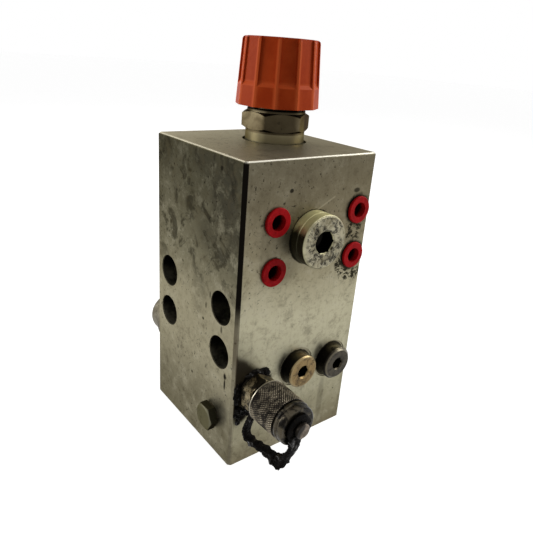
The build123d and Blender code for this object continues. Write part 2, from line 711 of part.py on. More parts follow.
def coupling_spring():
    """Small spring that presses the ball onto its seat."""
    contact = math.sqrt(COUPLING_BALL_RADIUS ** 2 - BALL_SPRING_RADIUS ** 2)
    top = ball_height() - contact - SEAT_GAP
    return coil_spring(COUPLING, BALL_SPRING_RADIUS, BALL_SPRING_WIRE, BALL_SPRING_TURNS, retainer_top(), top)


def coupling_washer():
    """Sealing washer under the test coupling's hexagon."""
    return tube(COUPLING, COUPLING_WASHER_RADIUS, COUPLING_THREAD_RADIUS, 0, COUPLING_WASHER)


def knurled_cap():
    """Cap of the test coupling: grip, groove, shoulder, crown and a stud for the strap."""
    edge = EDGE_BREAK
    low = COUPLING_NECK_TOP + TURN_GAP
    groove_radius = KNURL_RADIUS - KNURL_GROOVE
    outline = [
        (0, low), (KNURL_RADIUS - edge, low), (KNURL_RADIUS, low + edge),
        (KNURL_RADIUS, KNURL_TOP - edge / 2),
        (groove_radius, KNURL_TOP), (groove_radius, KNURL_TOP + KNURL_GROOVE_LENGTH),
        (SHOULDER_RADIUS, KNURL_TOP + KNURL_GROOVE_LENGTH + edge / 2), (SHOULDER_RADIUS, SHOULDER_TOP - edge),
        (CROWN_RADIUS, SHOULDER_TOP), (CROWN_RADIUS, CROWN_TOP - edge), (CROWN_RADIUS - edge, CROWN_TOP),
        (STUD_NECK_RADIUS, CROWN_TOP), (STUD_NECK_RADIUS, STUD_NECK_TOP), (STUD_RADIUS, STUD_NECK_TOP),
        (STUD_RADIUS, STUD_TOP - edge / 2), (STUD_RADIUS - edge / 2, STUD_TOP), (0, STUD_TOP),
    ]
    cavity = COUPLING_STEM_RADIUS + CAP_CAVITY_GAP
    return turned(COUPLING, outline) - disc(COUPLING, cavity, low, COUPLING_TOP + CAP_SEAL_WIRE + TURN_GAP)


def cap_seal():
    """Seal inside the knurled cap, just clear of the coupling's mouth."""
    low = COUPLING_TOP + TURN_GAP
    outer = COUPLING_STEM_RADIUS + CAP_CAVITY_GAP
    return o_ring(COUPLING, outer - 2 * CAP_SEAL_WIRE, outer, low, low + CAP_SEAL_WIRE)


def strap_heights():
    """Middle heights of the strap's ring on the neck and its ring on the stud."""
    return COUPLING_HEX_TOP + COUPLING_NECK / 2, CROWN_TOP + STUD_NECK / 2


def strap_band():
    """Flat band that hangs in a loop between the two rings, in one upright plane."""
    near, far = strap_heights()
    shift, rise = STRAP_END_X - STRAP_START_X, far - near
    run = math.hypot(shift, rise)
    place = Plane(origin=(STRAP_START_X, -BLOCK_DEPTH / 2 - near, COUPLING_Z),
                  x_dir=(shift, -rise, 0), z_dir=(-rise, -shift, 0))
    route = [(0, STRAP_END_Z), *STRAP_LOOP, (run, STRAP_RISE_Z), (run, STRAP_END_Z)]
    path = FilletPolyline(*route, radius=STRAP_BEND)
    band = trace(path, STRAP_THICKNESS)
    return place * extrude(band, STRAP_WIDTH / 2, both=True)


def retaining_strap():
    """Rubber strap: a ring round the coupling's neck, the band, and a ring round the stud."""
    near, far = strap_heights()
    half = STRAP_THICKNESS / 2
    neck_hole = COUPLING_NECK_RADIUS + TURN_GAP
    stud_hole = STUD_NECK_RADIUS + TURN_GAP
    strap = strap_band()
    strap += disc(COUPLING, neck_hole + STRAP_RING_WALL, near - half, near + half)
    strap += disc(COUPLING, stud_hole + STRAP_STUD_WALL, far - half, far + half)
    strap -= disc(COUPLING, neck_hole, near - STRAP_WIDTH, near + STRAP_WIDTH)
    half_gap = TURN_GAP / 2
    strap -= disc(COUPLING, COUPLING_FLATS / math.sqrt(3) + TURN_GAP, 0, COUPLING_HEX_TOP + half_gap)
    strap -= disc(COUPLING, KNURL_RADIUS + TURN_GAP, COUPLING_NECK_TOP + half_gap, CROWN_TOP + half_gap)
    return strap - disc(COUPLING, stud_hole, far - STRAP_THICKNESS, far + STRAP_THICKNESS)


def relief_body():
    """Cartridge body: nose, thread, collar, hexagon, neck and spring tube, bored right through."""
    edge = EDGE_BREAK
    nose = NOSE_RADIUS - SEAT_GAP
    thread = CAVITY_RADIUS - THREAD_GAP
    outline = [
        (0, -CARTRIDGE_DEPTH), (nose - edge, -CARTRIDGE_DEPTH), (nose, -CARTRIDGE_DEPTH + edge),
        (nose, -WAIST_DEPTH), (WAIST_RADIUS, -WAIST_DEPTH), (WAIST_RADIUS, -CARTRIDGE_THREAD_DEPTH),
        (thread, -CARTRIDGE_THREAD_DEPTH), (thread, -SPOT_DEPTH), (COLLAR_RADIUS, -SPOT_DEPTH),
        (COLLAR_RADIUS, COLLAR_TOP), (NECK_RADIUS, COLLAR_TOP), (NECK_RADIUS, NECK_TOP - edge / 2),
        (NECK_RADIUS - edge / 2, NECK_TOP), (TUBE_RADIUS, NECK_TOP), (TUBE_RADIUS, TUBE_TOP - edge),
        (TUBE_RADIUS - edge, TUBE_TOP), (0, TUBE_TOP),
    ]
    body = turned(RELIEF, outline) + cartridge_hexagon()
    bore = [
        (0, -CARTRIDGE_DEPTH), (RELIEF_SEAT_RADIUS, -CARTRIDGE_DEPTH), (RELIEF_SEAT_RADIUS, -WAIST_DEPTH),
        (CONE_BORE_RADIUS, -WAIST_DEPTH), (CONE_BORE_RADIUS, -SPRING_BORE_DEPTH),
        (SPRING_BORE_RADIUS, -SPRING_BORE_DEPTH), (SPRING_BORE_RADIUS, SPRING_BORE_TOP),
        (SET_SCREW_RADIUS, SPRING_BORE_TOP), (SET_SCREW_RADIUS, TUBE_TOP), (0, TUBE_TOP),
    ]
    body -= turned(RELIEF, bore)
    low, high = nose_groove_heights()
    body -= tube(RELIEF, nose, nose - NOSE_GROOVE, low, high)
    across = Cylinder(CROSS_HOLE_RADIUS, 3 * WAIST_RADIUS)
    for turn in (0, 90):
        body -= RELIEF * Pos(0, 0, -CROSS_HOLE_DEPTH) * Rot(0, 90, turn) * across
    return body


def nose_groove_heights():
    """Lower and upper height of the seal groove round the cartridge's nose."""
    middle = -(CARTRIDGE_DEPTH + WAIST_DEPTH) / 2
    return middle - NOSE_GROOVE_WIDTH / 2, middle + NOSE_GROOVE_WIDTH / 2


def cartridge_hexagon():
    """Hexagon of the cartridge, with its corners turned off above and below."""
    corner = CARTRIDGE_FLATS / math.sqrt(3)
    round_to = CARTRIDGE_FLATS / 2 - HEX_CHAMFER_INSET
    slope = (corner - round_to) * math.tan(math.radians(HEX_CHAMFER_ANGLE))
    outline = [(0, COLLAR_TOP), (round_to, COLLAR_TOP), (corner, COLLAR_TOP + slope),
               (corner, HEX_TOP - slope), (round_to, HEX_TOP), (0, HEX_TOP)]
    return hexagon(RELIEF, CARTRIDGE_FLATS, COLLAR_TOP, HEX_TOP, turn=HEX_TURN) & turned(RELIEF, outline)


def relief_body_seal():
    """Seal in the groove of the cartridge's nose."""
    low, high = nose_groove_heights()
    nose = NOSE_RADIUS - SEAT_GAP
    return o_ring(RELIEF, nose - NOSE_GROOVE, NOSE_RADIUS, low, high)


def relief_seat():
    """Seat insert pressed into the cartridge's nose."""
    return tube(RELIEF, RELIEF_SEAT_RADIUS, RELIEF_SEAT_HOLE, -CARTRIDGE_DEPTH, -WAIST_DEPTH)


def cone_plate_heights():
    """Underside and top of the plate on which the relief spring stands."""
    low = -SPRING_BORE_DEPTH + PLATE_RADIUS_GAP
    return low, low + GUIDE_LAND


def relief_cone():
    """Relief cone: a tip in the seat's hole, a stem, a guide land, a spring plate and a spigot."""
    seat = -WAIST_DEPTH
    land = CONE_BORE_RADIUS - SLIDE_GAP
    low, high = cone_plate_heights()
    plate = SPRING_BORE_RADIUS - PLATE_RADIUS_GAP
    spigot = RELIEF_SPRING_RADIUS - RELIEF_SPRING_WIRE / 2 - PLATE_RADIUS_GAP
    outline = [
        (0, seat + SEAT_GAP - RELIEF_SEAT_HOLE + CONE_TIP_RADIUS),
        (CONE_TIP_RADIUS, seat + SEAT_GAP - RELIEF_SEAT_HOLE + CONE_TIP_RADIUS),
        (CONE_RADIUS, seat + SEAT_GAP + CONE_RADIUS - RELIEF_SEAT_HOLE),
        (CONE_RADIUS, seat + GUIDE_LAND + CONE_RADIUS), (land, seat + GUIDE_LAND + CONE_RADIUS), (land, low),
        (plate, low), (plate, high), (spigot, high), (spigot, high + CONE_SPIGOT), (0, high + CONE_SPIGOT),
    ]
    return turned(RELIEF, outline)


def relief_spring():
    """Relief spring between the cone's plate and the upper guide."""
    return coil_spring(RELIEF, RELIEF_SPRING_RADIUS, RELIEF_SPRING_WIRE, RELIEF_SPRING_TURNS,
                       cone_plate_heights()[1], GUIDE_HEIGHT)


def relief_spring_guide():
    """Upper spring plate, with a spigot inside the spring."""
    plate = SPRING_BORE_RADIUS - PLATE_RADIUS_GAP
    spigot = RELIEF_SPRING_RADIUS - RELIEF_SPRING_WIRE / 2 - PLATE_RADIUS_GAP
    low = GUIDE_HEIGHT - CONE_SPIGOT
    outline = [(0, low), (spigot, low), (spigot, GUIDE_HEIGHT), (plate, GUIDE_HEIGHT), (plate, GUIDE_TOP),
               (0, GUIDE_TOP)]
    return turned(RELIEF, outline)


def plunger_groove_heights():
    """Lower and upper height of the seal groove round the adjusting screw's plunger."""
    middle = GUIDE_TOP + SEAT_GAP + PLUNGER_LENGTH / 2
    return middle - NOSE_GROOVE_WIDTH / 2, middle + NOSE_GROOVE_WIDTH / 2


def adjusting_screw():
    """Adjusting screw: a sealed plunger, the thread and a hexagon socket in its end."""
    low = GUIDE_TOP + SEAT_GAP
    high = low + PLUNGER_LENGTH
    plunger = SPRING_BORE_RADIUS - SLIDE_GAP
    thread = SET_SCREW_RADIUS - THREAD_GAP
    edge = EDGE_BREAK
    outline = [(0, low), (plunger, low), (plunger, high), (thread, high), (thread, SET_SCREW_TOP - edge),
               (thread - edge, SET_SCREW_TOP), (0, SET_SCREW_TOP)]
    body = turned(RELIEF, outline)
    body -= hexagon(RELIEF, SET_SCREW_FLATS, SET_SCREW_TOP - SET_SCREW_SOCKET, SET_SCREW_TOP)
    groove_low, groove_high = plunger_groove_heights()
    return body - tube(RELIEF, plunger, plunger - NOSE_GROOVE, groove_low, groove_high)


def adjusting_screw_seal():
    """Seal round the adjusting screw's plunger."""
    low, high = plunger_groove_heights()
    plunger = SPRING_BORE_RADIUS - SLIDE_GAP
    return o_ring(RELIEF, plunger - NOSE_GROOVE, plunger, low, high)


def lock_nut():
    """Lock nut of the adjusting screw."""
    corner = LOCK_NUT_FLATS / math.sqrt(3)
    low, high = TUBE_TOP, TUBE_TOP + LOCK_NUT_HEIGHT
    nut = hexagon(RELIEF, LOCK_NUT_FLATS, low, high, turn=HEX_TURN)
    nut &= turned(RELIEF, [(0, low), (corner - EDGE_BREAK, low), (corner, low + EDGE_BREAK / 2),
                           (corner, high - EDGE_BREAK / 2), (corner - EDGE_BREAK, high), (0, high)])
    return nut - disc(RELIEF, SET_SCREW_RADIUS, low, high)


def cap_radius(height):
    """Corner radius of the fluted cap, which narrows evenly from its bottom to its top."""
    share = (height - CAP_BOTTOM) / (CAP_TOP - CAP_BOTTOM)
    return CAP_BOTTOM_RADIUS + share * (CAP_TOP_RADIUS - CAP_BOTTOM_RADIUS)


def twelve_sided(low, high, inset=0.0):
    """Tapered prism with the cap's outline between two heights, set in from its faces."""
    level = Pos(0, 0, low) * RegularPolygon(cap_radius(low) - inset, CAP_SIDES, rotation=CAP_TURN)
    upper = Pos(0, 0, high) * RegularPolygon(cap_radius(high) - inset, CAP_SIDES, rotation=CAP_TURN)
    return loft([level, upper])


def cap_panel(index):
    """One recessed panel between two ribs, with a sloped ledge at its foot."""
    angle = CAP_TURN + (index + 0.5) * 360 / CAP_SIDES
    half = math.pi / CAP_SIDES
    sections = []
    for height, sunk in ((CAP_LEDGE_LOW, 0.0), (CAP_LEDGE_HIGH, PANEL_DEPTH), (CAP_TOP, PANEL_DEPTH)):
        flat = cap_radius(height) * math.cos(half)
        half_width = cap_radius(height) * math.sin(half) - RIB_WIDTH / 2
        outer = cap_radius(height) + RIB_WIDTH
        flat_width = half_width - (PANEL_DRAFT if sunk else 0.0)
        points = [(flat - sunk, -flat_width), (outer, -half_width),
                  (outer, half_width), (flat - sunk, flat_width)]
        sections.append(Pos(0, 0, height) * make_face(Polyline(*points, close=True)))
    return Rot(0, 0, angle) * (loft(sections[:2]) + loft(sections[1:]))


def protective_cap():
    """Plastic cap: twelve ribs and sunk panels above a plain skirt, thin walls, and an inner socket."""
    shell = twelve_sided(CAP_BOTTOM, CAP_TOP)
    shell = fillet(shell.faces().sort_by(Axis.Z)[-1].edges(), CAP_ROUND)
    for index in range(CAP_SIDES):
        shell -= cap_panel(index)
    roof = CAP_TOP - CAP_ROOF
    shell -= twelve_sided(CAP_BOTTOM, roof, inset=CAP_WALL + PANEL_DEPTH)
    inner = TUBE_RADIUS + TURN_GAP
    socket = tube(Plane.XY, inner + CAP_SOCKET_WALL, inner, CAP_BOTTOM + CAP_SOCKET_WALL, roof)
    return RELIEF * (shell + socket)


def nodes():
    """Every sub-part by name."""
    return {
        "valve_block": valve_block(),
        "expander_plugs": expander_plugs(),
        "main_plug": main_plug(),
        "main_plug_ring": main_plug_ring(),
        "main_poppet": main_poppet(),
        "main_spring": main_spring(),
        "seat_sleeve": seat_sleeve(),
        "seat_sleeve_seal": seat_sleeve_seal(),
        "pilot_piston": pilot_piston(),
        "pilot_piston_seal": pilot_piston_seal(),
        "middle_port_plug": small_plug(MIDDLE, MIDDLE_RADIUS, MIDDLE_HEIGHT, MIDDLE_EDGE),
        "middle_port_seal": small_seal(MIDDLE),
        "right_port_plug": small_plug(RIGHT, RIGHT_RADIUS, RIGHT_HEIGHT, RIGHT_EDGE),
        "right_port_seal": small_seal(RIGHT),
        "flange_hole_plugs": flange_hole_plugs(),
        "cylinder_port_seal": cylinder_port_seal(),
        "side_screw": side_screw(),
        "side_washer": side_washer(),
        "hose_port_plug": hose_port_plug(),
        "coupling_body": coupling_body(),
        "coupling_washer": coupling_washer(),
        "coupling_retainer": coupling_retainer(),
        "coupling_spring": coupling_spring(),
        "coupling_ball": coupling_ball(),
        "knurled_cap": knurled_cap(),
        "cap_seal": cap_seal(),
        "retaining_strap": retaining_strap(),
        "relief_body": relief_body(),
        "relief_body_seal": relief_body_seal(),
        "relief_seat": relief_seat(),
        "relief_cone": relief_cone(),
        "relief_spring": relief_spring(),
        "relief_spring_guide": relief_spring_guide(),
        "adjusting_screw": adjusting_screw(),
        "adjusting_screw_seal": adjusting_screw_seal(),
        "lock_nut": lock_nut(),
        "protective_cap": protective_cap(),
    }


os.makedirs("parts", exist_ok=True)
for name, solid in nodes().items():
    export_step(solid, f"parts/{name}.step")
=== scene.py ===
"""Looks of the hose burst valve: plated block, plugs, knurled cap with its strap, relief cartridge and fluted cap.

Metres, +Z up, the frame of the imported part. A new piece is a grid of points worked out with numpy, and a
material is a function that ends in one shader. Sizes are in millimetres where a name ends in _MM.
"""
import math

import bmesh
import bpy
import numpy as np
from mathutils import Matrix, Vector


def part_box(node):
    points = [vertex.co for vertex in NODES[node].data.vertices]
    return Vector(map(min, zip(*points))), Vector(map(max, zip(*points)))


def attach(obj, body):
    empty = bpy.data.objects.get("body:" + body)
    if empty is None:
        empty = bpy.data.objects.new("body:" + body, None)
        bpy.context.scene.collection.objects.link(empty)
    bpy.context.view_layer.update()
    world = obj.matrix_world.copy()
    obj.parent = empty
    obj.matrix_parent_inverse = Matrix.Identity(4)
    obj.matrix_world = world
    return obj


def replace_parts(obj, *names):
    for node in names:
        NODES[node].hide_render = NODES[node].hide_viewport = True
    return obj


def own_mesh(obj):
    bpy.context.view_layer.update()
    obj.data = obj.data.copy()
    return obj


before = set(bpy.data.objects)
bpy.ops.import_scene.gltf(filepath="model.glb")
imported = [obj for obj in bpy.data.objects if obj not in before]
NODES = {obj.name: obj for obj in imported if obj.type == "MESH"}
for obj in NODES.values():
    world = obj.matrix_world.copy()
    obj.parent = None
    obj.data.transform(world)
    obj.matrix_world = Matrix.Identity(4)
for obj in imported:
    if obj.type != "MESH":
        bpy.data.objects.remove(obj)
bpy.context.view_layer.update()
MM = 0.001
MERGE_WITHIN = 1e-7

# Camera, fitted to the photograph: pinhole with no shift
CAMERA_AT_MM = (-160.42, -208.06, 197.27)
CAMERA_AZIMUTH = -38.811
CAMERA_ELEVATION = 22.287
CAMERA_ROLL = 4.481
FOCAL_PIXELS = 523.73
FRAME_PIXELS = 533
SENSOR_MM = 36.0

# Places on the object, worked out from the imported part
BLOCK_LOW, BLOCK_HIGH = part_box("valve_block")
FRONT = BLOCK_LOW.y
LEFT = BLOCK_LOW.x
TOP = BLOCK_HIGH.z


def middle_of(node):
    """Middle of a node's box."""
    low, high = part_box(node)
    return (low + high) / 2


MAIN_AT = middle_of("main_plug")
MIDDLE_AT = middle_of("middle_port_plug")
RIGHT_AT = middle_of("right_port_plug")
COUPLING_AT = middle_of("knurled_cap")
SIDE_AT = middle_of("side_screw")
RELIEF_AT = middle_of("protective_cap")
FLANGE_LOW, FLANGE_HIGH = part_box("flange_hole_plugs")
FLANGE_INSET = 6.85 * MM


def srgb(red, green, blue):
    """Colour as seen on a screen, 0 to 255, turned into the linear numbers a shader takes."""
    def linear(value):
        value = value / 255
        return value / 12.92 if value <= 0.04045 else ((value + 0.055) / 1.055) ** 2.4
    return (linear(red), linear(green), linear(blue), 1.0)


class Value:
    """Number on a node socket: arithmetic on it adds Math nodes to its material."""

    def __init__(self, paint, socket):
        self.paint = paint
        self.socket = socket

    def maths(self, operation, *others):
        inputs = {index: value for index, value in enumerate((self, *others))}
        return self.paint.node("ShaderNodeMath", {"operation": operation}, inputs)

    def __add__(self, other):
        return self.maths("ADD", other)

    __radd__ = __add__

    def __sub__(self, other):
        return self.maths("SUBTRACT", other)

    def __rsub__(self, other):
        return (self * -1.0) + other

    def __mul__(self, other):
        return self.maths("MULTIPLY", other)

    __rmul__ = __mul__

    def __truediv__(self, other):
        return self.maths("DIVIDE", other)

    def __pow__(self, other):
        return self.maths("POWER", other)

    def __abs__(self):
        return self.maths("ABSOLUTE")

    def least(self, other):
        return self.maths("MINIMUM", other)

    def most(self, other):
        return self.maths("MAXIMUM", other)

    def wave(self):
        return self.maths("SINE")

    def between(self, low, high):
        """Smooth step: 0 below low, 1 above high; it falls instead where low is above high."""
        settings = {"interpolation_type": "SMOOTHSTEP"}
        if low < high:
            return self.paint.node("ShaderNodeMapRange", settings, {0: self, 1: low, 2: high, 3: 0.0, 4: 1.0})
        return self.paint.node("ShaderNodeMapRange", settings, {0: self, 1: high, 2: low, 3: 1.0, 4: 0.0})


class Paint:
    """Material under construction, with one way to add any node."""

    def __init__(self, name):
        self.material = bpy.data.materials.new(name)
        self.material.use_nodes = True
        self.tree = self.material.node_tree
        self.tree.nodes.clear()
        self.point = self.node("ShaderNodeTexCoord", output="Object")
        self.x, self.y, self.z = (
            self.node("ShaderNodeSeparateXYZ", inputs={0: self.point}, output=axis) for axis in "XYZ")

    def node(self, kind, settings=None, inputs=None, output=0):
        """Adds a node: settings first, a ramp's stops among them, then the values or links of its sockets."""
        made = self.tree.nodes.new(kind)
        for name, value in (settings or {}).items():
            if name == "stops":
                ramp = made.color_ramp.elements
                while len(ramp) < len(value):
                    ramp.new(0.5)
                for stop, (place, colour) in zip(ramp, value):
                    stop.position = place
                    stop.color = colour
            else:
                setattr(made, name, value)
        for name, value in (inputs or {}).items():
            if isinstance(value, Value):
                self.tree.links.new(value.socket, made.inputs[name])
            else:
                made.inputs[name].default_value = value
        return Value(self, made.outputs[output])

    def stretched(self, across, along, up):
        """Object coordinates, scaled along each axis."""
        return self.node("ShaderNodeVectorMath", {"operation": "MULTIPLY"}, {0: self.point, 1: (across, along, up)})

    def noise(self, scale, detail=4.0, rough=0.55, twist=0.0, point=None, shift=0.0):
        """Cloudy noise about 0.5; shift picks another part of the same noise."""
        where = point or self.point
        if shift:
            where = self.node("ShaderNodeVectorMath", {"operation": "ADD"}, {0: where, 1: (shift, -shift, 2 * shift)})
        inputs = {"Vector": where, "Scale": scale, "Detail": detail, "Roughness": rough, "Distortion": twist}
        return self.node("ShaderNodeTexNoise", None, inputs)

    def dots(self, scale, size, share, shift=0.0):
        """Scattered round spots: one in a cell of the given scale, kept in only a share of the cells."""
        where = self.point
        if shift:
            where = self.node("ShaderNodeVectorMath", {"operation": "ADD"}, {0: where, 1: (shift, shift, shift)})
        cell = {"Vector": where, "Scale": scale}
        near = self.node("ShaderNodeTexVoronoi", None, cell, "Distance")
        tint = self.node("ShaderNodeTexVoronoi", None, cell, "Color")
        lucky = self.node("ShaderNodeSeparateColor", None, {0: tint})
        return near.between(size, 0.4 * size) * lucky.between(1 - share, 1 - share + 0.02)

    def mix(self, factor, low, high):
        """Colour between two colours."""
        return self.node("ShaderNodeMix", {"data_type": "RGBA"}, {0: factor, 6: low, 7: high}, 2)

    def ramp(self, share, tones):
        """Colour along a ramp of (share, (red, green, blue)) tones, as seen on a screen."""
        stops = [(place, srgb(*tone)) for place, tone in tones]
        return self.node("ShaderNodeValToRGB", {"stops": stops}, {0: share})

    def spots(self, across, up, places, rag):
        """Largest of several ragged oval masks: place and reach across and up in millimetres, and strength."""
        total = None
        for side, height, wide, tall, strength in places:
            square = ((across - side * MM) / (wide * MM)) ** 2.0 + ((up - height * MM) / (tall * MM)) ** 2.0
            mask = (square ** 0.5 + rag).between(1.0, 0.45) * strength
            total = mask if total is None else total.most(mask)
        return total

    def ring(self, centre, axis):
        """Distance of a point from a line through centre along a row axis."""
        parts = [value - centre[index] for index, value in enumerate((self.x, self.y, self.z)) if index != axis]
        return (parts[0] ** 2.0 + parts[1] ** 2.0) ** 0.5

    def bump(self, height, strength, distance):
        """Normal that follows a height field; distance is the height of 1 in metres."""
        return self.node("ShaderNodeBump", None, {"Height": height, "Strength": strength, "Distance": distance})

    def shader(self, **sockets):
        """Principled shader with these sockets, joined to the output; returns the finished material."""
        inputs = {name.replace("_", " "): value for name, value in sockets.items()}
        surface = self.node("ShaderNodeBsdfPrincipled", None, inputs)
        self.finish(surface)
        return self.material

    def finish(self, surface):
        self.node_out = self.tree.nodes.new("ShaderNodeOutputMaterial")
        self.tree.links.new(surface.socket, self.node_out.inputs["Surface"])


# Near-black for dirt and oil, also used for painted shade in sockets, screw seats and gaps and on the plugs' dark sides
GRIME_AND_SHADE = srgb(12, 10, 7)
SCREW_SEATS_MM = [(across, up) for across in (-25.4, 25.4) for up in (61.1, 84.9)]
SCREW_SEAT_RADIUS_MM = 8.5

# Colours of the block's faces: share of the way, then red, green and blue as seen
# The left and front ramps run darker high up, where the faces mirror dark surroundings, and lighter low down, where
# they mirror the pale floor: painted reflection; both are also darker at the very bottom
LEFT_TONES = ((0.0, (104, 99, 82)), (0.16, (116, 111, 93)), (0.34, (148, 142, 120)), (0.5, (140, 134, 112)),
              (0.64, (104, 100, 83)), (0.80, (74, 71, 58)), (0.92, (60, 58, 47)), (1.0, (52, 50, 40)))
FRONT_TONES = ((0.0, (118, 111, 90)), (0.10, (138, 133, 110)), (0.26, (168, 164, 140)), (0.50, (172, 167, 142)),
               (0.66, (138, 131, 107)), (0.80, (114, 106, 85)), (0.92, (98, 91, 73)), (1.0, (92, 86, 70)))
TOP_TONES = ((0.0, (132, 125, 105)), (0.3, (122, 114, 95)), (0.7, (136, 129, 109)), (1.0, (146, 139, 119)))

# Oil spots on the left face: place across and up, reach across and up, in millimetres, and strength
LEFT_SPOTS = ((-31.6, 50.5, 1.5, 2.4, 1.0), (-31.6, 46.0, 0.9, 4.2, 1.0), (-12.5, 80.9, 0.8, 2.4, 0.8),
              (-10.2, 72.6, 1.2, 1.0, 0.9), (15.3, 43.2, 0.9, 1.8, 0.7), (-0.5, 35.9, 1.1, 1.1, 0.8),
              (-26.8, 74.0, 1.0, 2.6, 0.7), (-21.8, 150.1, 1.6, 1.4, 0.8), (5.4, 143.5, 2.2, 1.3, 0.5),
              (24.0, 113.0, 1.4, 1.9, 0.7), (-16.0, 88.0, 1.0, 2.4, 0.6), (11.0, 96.0, 1.5, 0.9, 0.5))
# Darker tarnished patches on the left face, in the same order; the last, between the side screw and the front edge, is
# painted reflection and shade of the screw
LEFT_TARNISH_AND_SHADE = ((-25.0, 137.0, 15.0, 19.0, 0.95), (-35.0, 121.0, 10.0, 22.0, 0.75), (-9.0, 149.0, 16.0, 8.0, 0.55),
                (-13.0, 117.0, 14.0, 12.0, 0.5), (30.0, 146.0, 10.0, 13.0, 0.45), (-5.0, 86.0, 8.0, 19.0, 0.35),
                (-29.5, 28.0, 7.0, 11.0, 0.5))
# Oil spots, then oily smears and painted reflections on the front, in the same order; the first two smears, up and to
# the left of the middle and right plugs, are partly oil and partly painted reflection of the plugs' dark sides
FRONT_SPOTS = ((-13.5, 141.9, 1.5, 1.3, 0.9), (-28.5, 128.0, 1.2, 0.8, 0.6), (-37.0, 39.0, 4.0, 13.5, 1.0),
               (-33.0, 30.0, 4.5, 5.0, 1.0), (27.9, 138.5, 2.6, 1.5, 0.8))
FRONT_FILMS_AND_REFLECTIONS = ((-8.5, 50.5, 4.5, 9.0, 0.75),
               (15.5, 51.0, 4.0, 8.0, 0.6), (21.0, 20.0, 3.0, 18.0, 0.3), (-20.0, 118.0, 12.0, 16.0, 0.3),
               (-16.0, 103.0, 13.0, 9.0, 0.3))


